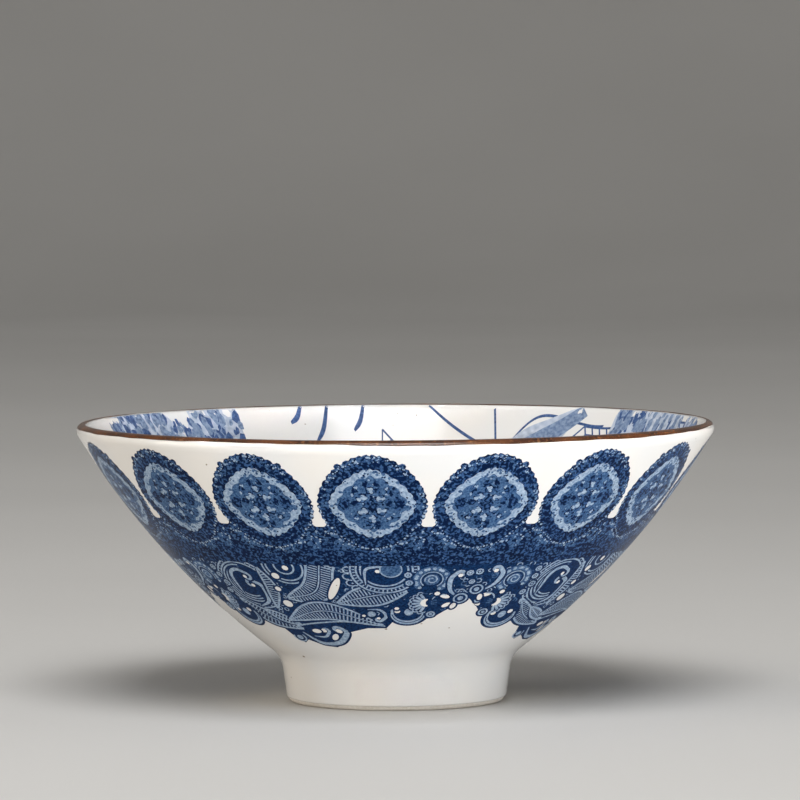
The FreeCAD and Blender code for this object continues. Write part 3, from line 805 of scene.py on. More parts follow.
def build_wall_prints():
    """Build the printed films outside: medallions, band and lace."""
    deep = ink_material("cobalt_deep", (0.0008, 0.010, 0.050), (0.006, 0.038, 0.125), 0.3, 0.2)
    flecked = ink_material("cobalt_flecked", (0.0008, 0.010, 0.050), (0.035, 0.090, 0.22), 0.42, 0.07,
                           share=0.56)
    mid = ink_material("cobalt_mid", (0.014, 0.058, 0.165), (0.085, 0.165, 0.31), 0.3, 0.2)
    pale = ink_material("cobalt_pale", (0.15, 0.25, 0.41), (0.44, 0.54, 0.66), 0.35, 0.3)
    tile = new_tile(HALF_TILE, TILE_TOP, BAND_BOTTOM)
    draw_band(tile)
    draw_medallion(tile)
    sheet = tile_sheet(tile, HALF_TILE, TILE_TOP, BAND_BOTTOM)
    edge = math.radians(HALF_TILE) * SHEET_RADIUS
    inks = {"band_" + DEEP: flecked, "band_" + MID: mid, "band_" + PALE: pale}
    onto = wall_at(MEDALLION_TURN)
    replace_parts(film("band_film", sheet, inks, onto, MEDALLIONS, edge), "band_print")
    inks = {"medal_" + DEEP: flecked, "medal_" + MID: mid, "medal_" + PALE: pale}
    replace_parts(film("medallion_film", sheet, inks, onto, MEDALLIONS), "medallion_print")
    build_lace({DEEP: deep, MID: mid, PALE: pale})


# ---------------------------------------------------------------- lace
# A tile of lace spans a quarter turn. Places on it are degrees to the right of an arch's crown and
# millimetres down the wall.

LACE_TILES = 4
LACE_TURN = 20.6                    # degrees from the front to an arch's crown
HALF_LACE = 180 / LACE_TILES
LACE_BOTTOM = 38.6
OUTLINE = 0.34                      # width of the pale outlines
RIB = 0.2                           # and of the ribs between them
MOTIF_REACH = 14                    # a motif reaches at most this many degrees past the tile's edge
GROUND_EDGE = (                     # the lower edge of the lace's dark ground
    (0, 27.0), (3.5, 28.9), (7, 31.2), (10.5, 31.6), (14, 33.6), (18, 32.6), (22, 32.9), (27, 34.0),
    (29.5, 36.6), (32, 37.4), (34.5, 36.6), (40, 37.9), (45.5, 38.2), (51, 36.9), (53.6, 34.4),
    (60, 33.4), (66.2, 33.4), (68.4, 31.9), (73, 32.7), (77.5, 31.4), (80.5, 31.2), (84, 29.6),
    (87.5, 28.3), (90, 27.0),
)


def tile_place(place):
    """Turn a place on the lace into one measured from the tile's middle."""
    return (place[0] - HALF_LACE, place[1])


def offset_to(at, place):
    """Give the way from one place on the wall to another, as a local point."""
    return (math.radians(place[0] - at[0]) * float(radius_at(place[1])), at[1] - place[1])


def through(*places):
    """Give a smooth path through some places, as local points about the first."""
    return curve(*[offset_to(places[0], place) for place in places])


class Lace:
    """A tile of lace being drawn, with its motifs."""

    def __init__(self, drawing):
        self.drawing = drawing

    def add(self, ink, shapes, at, shift=None, lean=0.0, **how):
        """Add shapes at a place, and again beside the tile where they cross its edge.

        shift and lean first move and turn the shapes within their motif.
        """
        if shift is not None:
            turn = math.radians(lean)
            spin = np.array([[math.cos(turn), math.sin(turn)], [-math.sin(turn), math.cos(turn)]])
            shapes = [shape @ spin + shift for shape in shapes]
        for wrap in (-360 / LACE_TILES, 0, 360 / LACE_TILES):
            turn, depth = tile_place(at)
            if abs(turn + wrap) < HALF_LACE + MOTIF_REACH:
                self.drawing.add(ink, shapes, (turn + wrap, depth), **how)

    def line(self, *places, width):
        """Draw a smooth pale line through some places."""
        self.add(PALE, stroke(through(*places), width), places[0])

    def ground(self, *places):
        """Fill the outline through some places with the dark ground."""
        self.add(DEEP, [through(*places, places[0])[:-1]], places[0])

    def ball(self, at, radius, ink=PAPER, stretch=1.0, spin=0.0):
        """Draw a bare white ball or drop with a dark edge."""
        self.add(DEEP, disc((0, 0), (radius + 0.28, radius * stretch + 0.28)), at, spin=spin)
        self.add(ink, disc((0, 0), (radius, radius * stretch)), at, spin=spin)

    def pearl(self, at, radius):
        """Draw a pale ring with a ball in it."""
        self.add(DEEP, disc((0, 0), radius + 0.3), at)
        self.add(PALE, stroke(arc((0, 0), radius - 0.12, 0, 360), 0.26), at)
        self.add(PALE, disc((0, 0), radius * 0.42), at)

    def hook(self, *places, width=0.62, curl=0.55, way=1, ball=0.42):
        """Draw a tapering stem that curls at its last place round a ball."""
        path = through(*places)
        heading = math.degrees(math.atan2(*(path[-1] - path[-3])[::-1]))
        centre = path[-1] + curl * np.array([math.cos(math.radians(heading + 90 * way)),
                                             math.sin(math.radians(heading + 90 * way))])
        coil = spiral(centre, curl, curl * 0.45, heading - 90 * way, heading + 150 * way)
        whole = np.vstack([path, coil[1:]])
        self.add(DEEP, stroke(whole, width + 0.6, (0.5, 0.8)), places[0])
        self.add(PALE, stroke(whole, width, (0.25, 0.45)), places[0])
        self.add(PAPER, disc(coil[-1], ball), places[0])

    def leaf(self, start, middle, end, width, gap=0.62, split=True, ends=(0.05, 0.05)):
        """Draw a ribbed leaf with its midrib through three places."""
        rib = through(start, middle, end)
        left, right = sides_of(rib, width, ends)
        back_left, back_right = sides_of(rib, width + 1.1, (0.25, 0.12))
        self.add(DEEP, [np.vstack([back_left, back_right[::-1]])], start)
        self.add(PALE, stroke(left, OUTLINE), start)
        self.add(PALE, stroke(right, OUTLINE), start)
        if split:
            self.add(PALE, stroke(rib, RIB), start)
            bars = rungs(rib, left, gap, RIB, 0.14) + rungs(rib, right, gap, RIB, 0.14)
        else:
            bars = rungs(left, right, gap, RIB, 0.14)
        self.add(PALE, bars, start)

    def roundel(self, at, radii, ribs=0, rib_ring=None):
        """Draw rings inside one another, with ribs between two of them."""
        self.add(DEEP, disc((0, 0), max(radii) + 0.35), at)
        for radius in radii:
            self.add(PALE, stroke(arc((0, 0), radius, 0, 360), 0.27), at)
        if rib_ring:
            inner, outer = rib_ring
            for rib in range(ribs):
                angle = rib * 2 * math.pi / ribs
                way = np.array([math.cos(angle), math.sin(angle)])
                self.add(PALE, stroke(np.stack([way * (inner + 0.2), way * (outer - 0.2)]), RIB), at)

    def horseshoe(self, at, radius, opening):
        """Draw an arch of pearls round a flecked middle, open towards an angle."""
        path = arc((0, 0), radius, opening + 38, opening + 322)
        self.add(DEEP, disc((0, 0), radius + 0.6), at)
        self.add(MID, stroke(path, 0.95), at)
        self.add(PALE, beads(path, 17, 0.3), at)
        self.add(PALE, stroke(path * 0.7, 0.18), at)
        self.add(MID, disc((0, 0), radius * 0.5), at)
        self.add(PALE, stroke(spiral((0, 0), 0.25, radius * 0.47, 40, 560), 0.2), at)

    def crescent(self, at, radius, spin=0.0):
        """Draw a thick cradle, open above, with curled ends and two balls in it."""
        self.add(DEEP, disc((0, 0), radius + 0.75), at, spin=spin)
        self.add(PALE, stroke(arc((0, 0), radius, 165, 372), 0.85, (0.35, 0.35)), at, spin=spin)
        self.add(DEEP, stroke(arc((0, 0), radius, 185, 352), 0.14), at, spin=spin)
        self.add(PALE, stroke(spiral((-radius + 0.55, 0.55), 0.6, 0.3, 190, -60), 0.3), at, spin=spin)
        self.add(PAPER, disc((-radius + 0.75, 0.45), 0.42), at, spin=spin)
        self.add(PALE, disc((0.1, 0.1), (0.62, 0.75)), at, spin=spin)
        self.add(PAPER, disc((radius - 1.0, 0.65), 0.45), at, spin=spin)

    def bloom(self, at, spin=0.0, flip=False):
        """Draw a half-open flower on its side: a ribbed fan, a white cup and two white petals."""
        how = {"spin": spin, "flip": flip}
        self.add(DEEP, disc((-0.9, 0), (2.1, 2.0)), at, **how)
        self.add(DEEP, disc((1.6, 0.2), (1.9, 1.7)), at, **how)
        for rib in range(7):
            angle = math.radians(118 + rib * 21)
            way = np.array([math.cos(angle), math.sin(angle)])
            self.add(PALE, stroke(np.linspace(way * 0.75, way * 2.15, 5), 0.42, (0.5, 0.9)), at, **how)
            self.add(PALE, stroke(arc(way * 2.2, 0.36, rib * 21 + 20, rib * 21 + 216), 0.2), at, **how)
        self.add(PAPER, stroke(arc((0.1, 0), 0.72, 95, 265), 0.78, (0.3, 0.3)), at, **how)
        for rise in (-0.45, 0.0, 0.45):
            self.add(MID, stroke(curve((0.5, rise * 0.6), (1.3, rise)), 0.22), at, **how)
        self.add(PAPER, disc((0, 0), (0.78, 0.42)), at, shift=(2.35, 1.15), lean=-28, **how)
        self.add(PAPER, disc((0, 0), (0.72, 0.38)), at, shift=(2.6, -0.75), lean=32, **how)
        self.add(PALE, stroke(arc((1.9, 0.2), 1.35, 60, 160), 0.26, (0.5, 0.5)), at, **how)

    def filling(self, chance):
        """Scatter small rings, dots and commas over the ground, for the motifs to cover."""
        for _ in range(330):
            at = (chance.uniform(0.5, 89.5), chance.uniform(BAND_BOTTOM + 0.25, 31.0))
            if at[1] > ground_depth(at[0]) - 0.9:
                continue
            kind = chance.random()
            if kind < 0.3:
                self.add(PALE, stroke(arc((0, 0), 0.34, 0, 360), 0.15), at)
            elif kind < 0.6:
                self.add(PALE, disc((0, 0), chance.uniform(0.1, 0.2)), at)
            else:
                bend = arc((0, 0), 0.42, chance.uniform(0, 360), chance.uniform(400, 560))
                self.add(MID if kind < 0.8 else PALE, stroke(bend, 0.22, (0.3, 0.8)), at)


def draw_ground(drawing):
    """Draw the lace's dark ground, which runs a little way under the band."""
    top = BAND_BOTTOM - 0.6
    ground = [spread_on_wall(np.zeros((1, 2)), tile_place(place))
              for place in GROUND_EDGE + ((90, top), (0, top))]
    drawing.add(DEEP, [np.vstack(ground)], at=None)


def draw_paisley(lace):
    """Draw the big paisley right of the arch, and the half roundel beside it under the band."""
    lace.roundel((26.5, 24.6), (5.0, 4.4), 40, (4.4, 5.0))
    for radius in (3.75, 3.2, 2.65):
        lace.add(PALE, stroke(arc((0, 0), radius, 80, 290), 0.25), (26.2, 24.5))
    lace.hook((25.4, 29.3), (30.0, 28.0), (31.2, 25.0), (28.6, 23.8), width=0.7, curl=0.85, way=1, ball=0.36)
    lace.hook((22.0, 27.0), (22.6, 22.9), (25.6, 21.7), (28.6, 22.4), width=0.6, curl=0.8, way=-1, ball=0.36)
    lace.leaf((18.0, 27.8), (24.5, 31.6), (36.0, 34.0), 3.0, 0.55)
    lace.leaf((25.0, 29.9), (30.0, 31.5), (36.5, 33.1), 1.7, 0.5)
    lace.leaf((33.2, 21.0), (34.2, 25.0), (31.4, 29.6), 1.7, 0.5, split=False)
    lace.roundel((41.3, 20.6), (3.4, 2.8, 1.5), 0)
    lace.ball((41.6, 20.9), 0.5)
    lace.ball((37.6, 22.6), 0.62)
    lace.ball((36.1, 25.3), 0.5)
    lace.ball((36.4, 28.4), 0.75)


def draw_leaves(lace):
    """Draw the large leaves, and the scalloped roundel over them under the band."""
    lace.leaf((37.6, 27.2), (47.4, 25.4), (51.2, 19.6), 3.9, 0.5, ends=(0.05, 1.0))
    lace.leaf((33.0, 32.0), (47.8, 29.7), (65.2, 32.7), 3.7, 0.5)
    lace.line((34.0, 33.3), (44.0, 32.4), (54.0, 32.0), (65.8, 32.9), width=0.3)
    lace.leaf((52.6, 27.9), (62.0, 26.4), (72.4, 25.3), 4.0, 0.5)
    lace.roundel((66.6, 20.9), (4.7, 3.9, 3.3), 46, (3.9, 4.7))
    lace.hook((61.6, 24.0), (62.0, 21.0), (65.0, 20.3), width=0.45, curl=0.75, way=-1, ball=0.36)
    lace.add(MID, disc((0, 0), 1.5), (68.2, 20.9))
    lace.add(PALE, stroke(arc((0, 0), 1.5, 0, 360), 0.2), (68.2, 20.9))
    for turn, depth in ((57.5, 21.0), (57.2, 22.3), (57.8, 23.6), (59.0, 24.7)):
        lace.add(PALE, stroke(arc((0, 0), 0.6, 60, 290), 0.22), (turn, depth))


def draw_scrolls(lace):
    """Draw the scroll at the bottom with the knob beside it, and the small curl to its right."""
    lace.ball((31.4, 36.1), 0.5, ink=PALE)
    lace.add(PALE, stroke(arc((0, 0), 0.95, 150, 400), 0.24), (31.4, 36.1))
    lace.hook((34.5, 34.8), (40.0, 37.2), (47.5, 37.0), (52.0, 34.6), (50.2, 33.5), width=0.8, curl=0.7,
              way=1, ball=0.5)
    lace.hook((38.5, 35.6), (43.0, 35.7), (45.6, 34.5), width=0.45, curl=0.6, way=1, ball=0.45)
    lace.ball((40.8, 34.4), 0.72, stretch=0.7)
    lace.ball((46.9, 35.7), 0.45, stretch=1.9, spin=-30)
    lace.hook((61.0, 29.2), (64.6, 29.3), (66.4, 30.6), (64.8, 31.7), width=0.5, curl=0.5, way=-1, ball=0.3)
    lace.ball((62.0, 30.2), 0.6, ink=PALE)


def draw_arch_sides(lace):
    """Draw the flowers, pearls and scrolls either side of the arch."""
    lace.crescent((14.2, 31.1), 2.25)
    lace.crescent((73.0, 29.9), 2.2, spin=6)
    lace.bloom((8.9, 28.1), spin=-14, flip=True)
    lace.bloom((78.3, 27.8), spin=4)
    lace.horseshoe((11.2, 23.4), 2.2, -70)
    lace.horseshoe((78.5, 23.0), 2.2, -95)
    lace.hook((2.8, 25.6), (5.9, 24.2), (7.0, 22.2), (5.6, 20.9), width=0.7, curl=0.62, way=1, ball=0.4)
    lace.hook((86.2, 26.6), (83.9, 25.2), (83.4, 22.9), (84.9, 21.6), width=0.7, curl=0.62, way=-1, ball=0.4)
    for turn, depth, radius in ((1.3, 25.2, 1.0), (87.5, 27.0, 1.05),
                                (6.7, 30.2, 0.75), (79.9, 30.3, 0.65), (17.2, 21.6, 0.55),
                                (17.5, 23.1, 0.55), (18.1, 24.7, 0.6), (16.6, 26.3, 0.55),
                                (72.4, 22.0, 0.55), (72.8, 23.6, 0.55), (0.4, 21.6, 0.6),
                                (88.0, 21.8, 0.55), (89.2, 23.6, 0.5), (3.0, 27.6, 0.5)):
        lace.pearl((turn, depth), radius)
    for turn, depth, radius in ((9.6, 26.0, 0.42), (80.6, 25.9, 0.42), (69.6, 29.0, 0.35), (59.5, 30.6, 0.3)):
        lace.ball((turn, depth), radius)
    lace.ball((3.2, 26.9), 0.4, stretch=1.7, spin=10)
    lace.ball((86.0, 28.6), 0.4, stretch=1.6, spin=-15)
    lace.ball((52.9, 24.9), 0.58, stretch=4.3, spin=-26)


def ground_depth(turn):
    """Give how far down the wall the lace's dark ground reaches."""
    return float(np.interp(turn, *zip(*GROUND_EDGE)))


def build_lace(inks):
    """Build the printed lace."""
    tile = new_tile(HALF_LACE, BAND_BOTTOM, LACE_BOTTOM)
    draw_ground(tile)
    lace = Lace(tile)
    lace.filling(random.Random(3))
    draw_paisley(lace)
    draw_leaves(lace)
    draw_scrolls(lace)
    draw_arch_sides(lace)
    sheet = tile_sheet(tile, HALF_LACE, BAND_BOTTOM, LACE_BOTTOM)
    edge = math.radians(HALF_LACE) * SHEET_RADIUS
    onto = wall_at(LACE_TURN + HALF_LACE)
    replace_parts(film("lace_film", sheet, inks, onto, LACE_TILES, edge), "lace_print")


# ---------------------------------------------------------------- garden
# The garden inside is drawn on the plan. Its places are shares of GARDEN_RADIUS, x to the right and
# y towards the back.

GARDEN_RADIUS = 43.5
LEAF_LIMIT = 0.975                  # scattered leaves keep within this share of it
GARDEN_STEP = 1.3                   # spacing of the points that keep the film round
GARDEN_TRIM = 0.02                  # triangles nearer to the edge than this are left out
LINE, SHADE, WASH = "line", "shade", "wash"


def spread_on_plan(points, at):
    """Move local points to a place on the plan."""
    return points + np.array(at) * GARDEN_RADIUS


def plan(*places):
    """Turn places on the garden into points in millimetres."""
    return np.array(places) * GARDEN_RADIUS


def oval(x, y, wide, high, step):
    """Give places round an oval, this step of its angle apart."""
    return [(x + wide * math.cos(a), y + high * math.sin(a)) for a in np.arange(0, 2 * math.pi, step)]


def raised(place, rise):
    """Give a place moved up the plan."""
    return (place[0], place[1] + rise)


def onto_inside(points, proud):
    """Lay points of the plan on the inner surface. Give the vertices and the surface's normals."""
    radius = np.hypot(points[:, 0], points[:, 1])
    edge = BOWL_CENTRE[0] + BOWL_RADIUS * math.cos(direction(INSIDE_CENTRE, BOWL_CENTRE))
    lip = LIP_CENTRE[0] - LIP_RADIUS * math.cos(direction(INSIDE_CENTRE, LIP_CENTRE))
    stretch = [radius < edge, radius > lip]
    centre_radius = np.select(stretch, [BOWL_CENTRE[0], LIP_CENTRE[0]], INSIDE_CENTRE[0])
    centre_height = np.select(stretch, [BOWL_CENTRE[1], LIP_CENTRE[1]], INSIDE_CENTRE[1])
    reach = np.select(stretch, [BOWL_RADIUS, -LIP_RADIUS], INSIDE_RADIUS)
    inward = (centre_radius - radius) / reach
    upward = np.sqrt(1 - inward**2)
    bearing = points / np.maximum(radius, TINY)[:, None]
    flat = radius + inward * proud
    height = centre_height - upward * reach + upward * proud
    vertices = np.stack([bearing[:, 0] * flat, bearing[:, 1] * flat, height], axis=1)
    normals = np.stack([bearing[:, 0] * inward, bearing[:, 1] * inward, upward], axis=1)
    return vertices, normals


class Garden:
    """The garden being drawn, with the things that grow and stand in it."""

    def __init__(self):
        self.drawing = Drawing(spread_on_plan)
        self.drawing.add(PAPER, disc((0, 0), GARDEN_RADIUS), at=None)
        self.chance = random.Random(21)

    def line(self, *places, width=0.28, ends=(0.7, 0.7)):
        """Draw a smooth line through some places."""
        self.drawing.add(LINE, stroke(curve(*plan(*places)), width, ends), at=None)

    def straight(self, *places, width=0.26):
        """Draw straight lines from place to place."""
        for start, end in zip(places, places[1:]):
            path = np.linspace(*plan(start, end), 3)
            self.drawing.add(LINE, stroke(path, width), at=None)

    def area(self, *places, ink=WASH, smooth=False):
        """Fill an outline."""
        points = plan(*places)
        if smooth:
            points = curve(*points, points[0])[:-1]
        self.drawing.add(ink, [points], at=None)

    def fence(self, start, end, height, posts, rails=(1.0, 0.55), width=0.2):
        """Draw a railing whose foot runs from one place to another."""
        start, end = np.array(start), np.array(end)
        for share in rails:
            self.straight(start + [0, height * share], end + [0, height * share], width=width)
        for step in range(posts + 1):
            foot = start + (end - start) * step / posts
            self.straight(foot, foot + [0, height], width=width)

    def spot_in(self, at, spread):
        """Pick a place in an ellipse."""
        angle = self.chance.uniform(0, 2 * math.pi)
        reach = math.sqrt(self.chance.random())
        return (at[0] + spread[0] * reach * math.cos(angle), at[1] + spread[1] * reach * math.sin(angle))

    def leaf_at(self, place, size, ink):
        """Draw a small uneven leaf."""
        self.drawing.add(ink, blob((0, 0), size, self.chance), place)

    def leaves(self, at, spread, count, size, inks=(LINE, SHADE)):
        """Scatter leaves in a patch."""
        for _ in range(count):
            place = self.spot_in(at, spread)
            if math.hypot(*place) < LEAF_LIMIT:
                ink = self.chance.choice(inks)
                self.leaf_at(place, size * self.chance.uniform(0.6, 1.2), ink)

    def spray(self, at, length, count):
        """Hang a tapering chain of leaves."""
        for step in range(count):
            share = step / count
            for side in (-1, 1):
                wide = (1 - share) * 0.022 * side + self.chance.uniform(-0.004, 0.004)
                place = (at[0] + wide, at[1] - length * share)
                self.leaf_at(place, 0.42 * (1 - 0.5 * share), self.chance.choice((LINE, SHADE)))

    def willow(self, at, width, height, strands):
        """Draw a willow: strands that arch out from its head and hang nearly to the ground."""
        for strand in range(strands):
            share = (strand + 0.5) / strands * 2 - 1 + self.chance.uniform(-0.05, 0.05)
            reach = share * width
            crown = at[1] + height * (1 - 0.2 * share**2) * self.chance.uniform(0.9, 1.0)
            foot = at[1] + height * self.chance.uniform(0.0, 0.3)
            self.line((at[0] + reach * 0.1, at[1] + height * 0.66), (at[0] + reach * 0.5, crown),
                      (at[0] + reach * 0.86, crown - height * 0.2), (at[0] + reach, foot),
                      width=0.25, ends=(0.8, 0.3))
            for step in range(4):
                drop = crown - height * 0.25 + (foot - crown + height * 0.25) * step / 4
                self.leaf_at((at[0] + reach * (0.9 + 0.025 * step), drop), 0.24, SHADE)
        for lean in (-0.015, 0.015):
            self.line((at[0] + lean, at[1]), (at[0] - lean, at[1] + height * 0.4),
                      (at[0], at[1] + height * 0.7), width=0.4, ends=(1, 0.5))

    def berries(self, at, spread, count, size):
        """Scatter small round leaves, pale inside, over a patch."""
        for _ in range(count):
            place = self.spot_in(at, spread)
            radius = size * self.chance.uniform(0.8, 1.15)
            self.drawing.add(LINE, disc((0, 0), radius + 0.18), place)
            self.drawing.add(self.chance.choice((PAPER, PAPER, WASH)), disc((0, 0), radius), place)

    def thicket(self, start, end, inner, outer, count):
        """Crowd foliage against the rim between two angles in degrees."""
        turns = np.radians(np.arange(start, end + 1, 6.0))
        ragged = np.array([inner + self.chance.uniform(-0.025, 0.025) for _ in turns])
        ring = np.stack([ragged * np.cos(turns), ragged * np.sin(turns)], axis=1)
        edge = np.stack([outer * np.cos(turns), outer * np.sin(turns)], axis=1)
        self.area(*ring, *edge[::-1], ink=WASH)
        for _ in range(count):
            turn = math.radians(self.chance.uniform(start, end))
            reach = self.chance.uniform(inner - 0.02, outer)
            ink = self.chance.choice((LINE, SHADE, SHADE))
            size = self.chance.uniform(0.35, 0.85)
            self.leaf_at((reach * math.cos(turn), reach * math.sin(turn)), size, ink)

    def lobed(self, at, size, turn):
        """Draw a leaf with five fingers."""
        for finger in range(5):
            angle = math.radians(turn + (finger - 2) * 52)
            reach = size * (1.0 if finger in (1, 2, 3) else 0.75)
            tip = np.array([math.cos(angle), math.sin(angle)]) * reach
            path = curve((0, 0), tip * 0.55, tip) * GARDEN_RADIUS
            left, right = sides_of(path, size * 0.42 * GARDEN_RADIUS, (0.15, 0.1))
            self.drawing.add(WASH, [np.vstack([left, right[::-1]])[:-1]], at)
            self.drawing.add(LINE, stroke(left, 0.2) + stroke(right, 0.2) + stroke(path, 0.16), at)

    def roof(self, apex, ridge, left, right, eave, tips):
        """Draw a tiled roof with swept corners. ridge is half the width of its top."""
        eave_left, eave_right = (left, eave), (right, eave)
        waist = apex[1] + (eave - apex[1]) * 0.62
        tops = [(apex[0] - ridge, apex[1]), (apex[0] + ridge, apex[1])]
        slope_left = curve(*plan(tops[0], (tops[0][0] + (left - tops[0][0]) * 0.38, waist), eave_left))
        slope_right = curve(*plan(eave_right, (tops[1][0] + (right - tops[1][0]) * 0.38, waist), tops[1]))
        self.drawing.add(SHADE, [np.vstack([slope_left, slope_right])], at=None)
        for step in range(23):
            share = step / 22
            foot = left + (right - left) * share
            top = apex[0] + ridge * (2 * share - 1)
            start = (top + (foot - top) * 0.06, apex[1] - 0.008)
            self.line(start, (top + (foot - top) * 0.38, waist), (foot, eave + 0.004), width=0.17)
        self.line(eave_left, ((left + right) / 2, eave - 0.012), eave_right, width=0.5)
        for start, tip in tips:
            bend = ((start[0] + tip[0]) / 2 + 0.15 * (tip[0] - start[0]), start[1] * 0.8 + tip[1] * 0.2)
            self.line(start, bend, tip, width=0.6, ends=(1.0, 0.3))

    def pavilion(self):
        """Draw a two-storey pavilion on a terrace."""
        front = ((-0.43, -0.27), (-0.2, -0.295), (0.3, -0.295), (0.44, -0.24))
        for start, end in zip(front, front[1:]):
            floor = raised(start, 0.055), raised(end, 0.055)
            foot = raised(start, -0.07), raised(end, -0.07)
            self.area(start, end, *floor[::-1], ink=SHADE)
            self.straight(start, end, width=0.3)
            self.straight(*foot)
            self.straight(start, foot[0])
            self.fence(*floor, 0.04, round((end[0] - start[0]) / 0.04), rails=(1.0,), width=0.16)
        self.area((-0.235, -0.17), (0.29, -0.17), (0.29, 0.01), (-0.235, 0.01), ink=WASH)
        for x in (-0.235, -0.10, -0.06, 0.10, 0.15, 0.29):
            self.straight((x, -0.17), (x, 0.01), width=0.42)
        for x, y in ((0.02, -0.076), (-0.17, -0.07), (0.22, -0.075)):
            self.area(*oval(x, y, 0.035, 0.035, math.pi / 3)[:6], ink=LINE)
            self.area(*oval(x, y, 0.0175, 0.0175, math.pi / 3)[:6], ink=PAPER)
        self.straight((-0.235, -0.125), (0.29, -0.125), width=0.2)
        self.straight((-0.235, -0.02), (0.29, -0.02), width=0.3)
        self.roof((-0.3, 0.13), 0.05, -0.47, -0.16, 0.03, (((-0.43, 0.045), (-0.52, 0.225)),))
        self.roof((0.03, 0.15), 0.17, -0.32, 0.42, 0.015,
                  (((-0.24, 0.04), (-0.29, 0.18)), ((0.3, 0.05), (0.38, 0.25)), ((0.36, 0.03), (0.56, 0.23))))
        self.area((-0.22, 0.15), (0.245, 0.15), (0.245, 0.205), (-0.22, 0.205), ink=WASH)
        self.fence((-0.22, 0.15), (0.245, 0.15), 0.055, 16)
        self.roof((0.04, 0.56), 0.012, -0.24, 0.36, 0.215,
                  (((-0.2, 0.23), (-0.21, 0.40)), ((0.2, 0.26), (0.27, 0.37)), ((0.31, 0.225), (0.46, 0.37))))
        for height, size in ((0.575, 0.95), (0.61, 0.7)):
            self.drawing.add(LINE, disc((0, 0), size), (0.04, height))
            self.drawing.add(PAPER, disc((0, 0), size * 0.6), (0.04, height))

    def pond(self):
        """Draw the pond with ripples and fish."""
        for patch in ((0.02, -0.47, 0.2, 0.08), (0.2, -0.4, 0.17, 0.035), (-0.02, -0.365, 0.3, 0.02)):
            self.area(*oval(*patch, 0.45), ink=WASH, smooth=True)
        for ring in (0.35, 0.5, 0.68, 0.86, 1.04):
            for part in range(4):
                start = part * 90 + ring * 190
                reach = (0.31 * ring * GARDEN_RADIUS, 0.145 * ring * GARDEN_RADIUS)
                path = arc((0, 0), reach, start, start + 62)
                self.drawing.add(LINE, stroke(path, 0.36, (0.2, 0.2)), (0.05, -0.48))
        for x, y, lean in ((-0.05, -0.46, 20), (0.07, -0.5, -15), (0.14, -0.44, 160), (0.0, -0.53, 190)):
            body = curve((-0.9, 0), (0, 0.18), (1.0, 0))
            self.drawing.add(LINE, stroke(body, 0.6, (0.15, 0.6)), (x, y), spin=lean)
            self.drawing.add(LINE, stroke(curve((-0.9, 0), (-1.3, 0.35)), 0.25), (x, y), spin=lean)
        for y, left, right in ((-0.36, -0.5, 0.6), (-0.4, -0.55, -0.35), (-0.58, -0.25, 0.35),
                               (-0.62, 0.3, 0.62)):
            self.line((left, y), ((left + right) / 2, y + 0.012), (right, y), width=0.18, ends=(0.3, 0.3))

    def banks(self):
        """Draw the willows, bushes and trees along the near bank."""
        self.willow((-0.56, -0.74), 0.12, 0.26, 13)
        self.willow((-0.3, -0.83), 0.17, 0.35, 19)
        self.willow((0.04, -0.96), 0.12, 0.26, 13)
        self.willow((0.28, -0.93), 0.13, 0.2, 13)
        self.thicket(222, 246, 0.86, 1.0, 150)
        self.thicket(204, 214, 0.88, 1.0, 50)
        self.thicket(287, 302, 0.91, 1.0, 60)
        self.area((0.955, 0.16), (0.99, 0.15), (0.93, -0.18), (0.83, -0.5), (0.74, -0.66), (0.71, -0.65),
                  (0.79, -0.46), (0.86, -0.2), ink=SHADE, smooth=True)
        self.line((0.955, 0.16), (0.86, -0.2), (0.79, -0.46), (0.71, -0.65), width=0.4)
        self.line((0.985, 0.10), (0.93, -0.18), (0.83, -0.5), (0.74, -0.66), width=0.3)
        self.leaves((0.7, -0.5), (0.13, 0.13), 60, 0.6, (WASH, SHADE))
        self.berries((0.6, -0.52), (0.2, 0.13), 80, 0.62)
        self.berries((0.7, -0.42), (0.12, 0.08), 26, 0.62)

    def right_side(self):
        """Draw the bridge's railing and the broad-leaved tree on the right."""
        self.fence((0.45, -0.20), (0.92, -0.36), 0.085, 14)
        self.line((0.45, -0.21), (0.7, -0.29), (0.92, -0.37), width=0.4)
        for place in ((0.66, 0.42), (0.78, 0.47), (0.88, 0.42), (0.72, 0.31), (0.85, 0.3), (0.62, 0.06),
                      (0.72, 0.1), (0.84, 0.12), (0.66, -0.05), (0.78, -0.02), (0.9, 0.0), (0.93, 0.2)):
            bearing = math.degrees(math.atan2(place[1], place[0]))
            self.lobed(place, 0.085, bearing + 90 * self.chance.uniform(-1, 1))
        self.thicket(17, 41, 0.9, 1.0, 120)
        for places in (((0.97, 0.14), (0.86, 0.2), (0.72, 0.3)), ((0.93, 0.2), (0.86, 0.36), (0.78, 0.45)),
                       ((0.95, 0.06), (0.8, 0.06), (0.64, 0.02))):
            self.line(*places, width=0.4, ends=(1, 0.4))

    def rock(self, x, y, wide, high):
        """Draw a rock with three cracks."""
        knots = [(x + across * self.chance.uniform(0.8, 1.15), y + up * self.chance.uniform(0.8, 1.15))
                 for across, up in oval(0, 0, wide, high, 0.8)]
        self.area(*knots, ink=WASH, smooth=True)
        self.line(*knots, knots[0], width=0.3)
        for step in range(3):
            self.line((x - wide * 0.4 + wide * 0.4 * step, y + high * 0.5),
                      (x - wide * 0.5 + wide * 0.4 * step, y - high * 0.2), width=0.18)

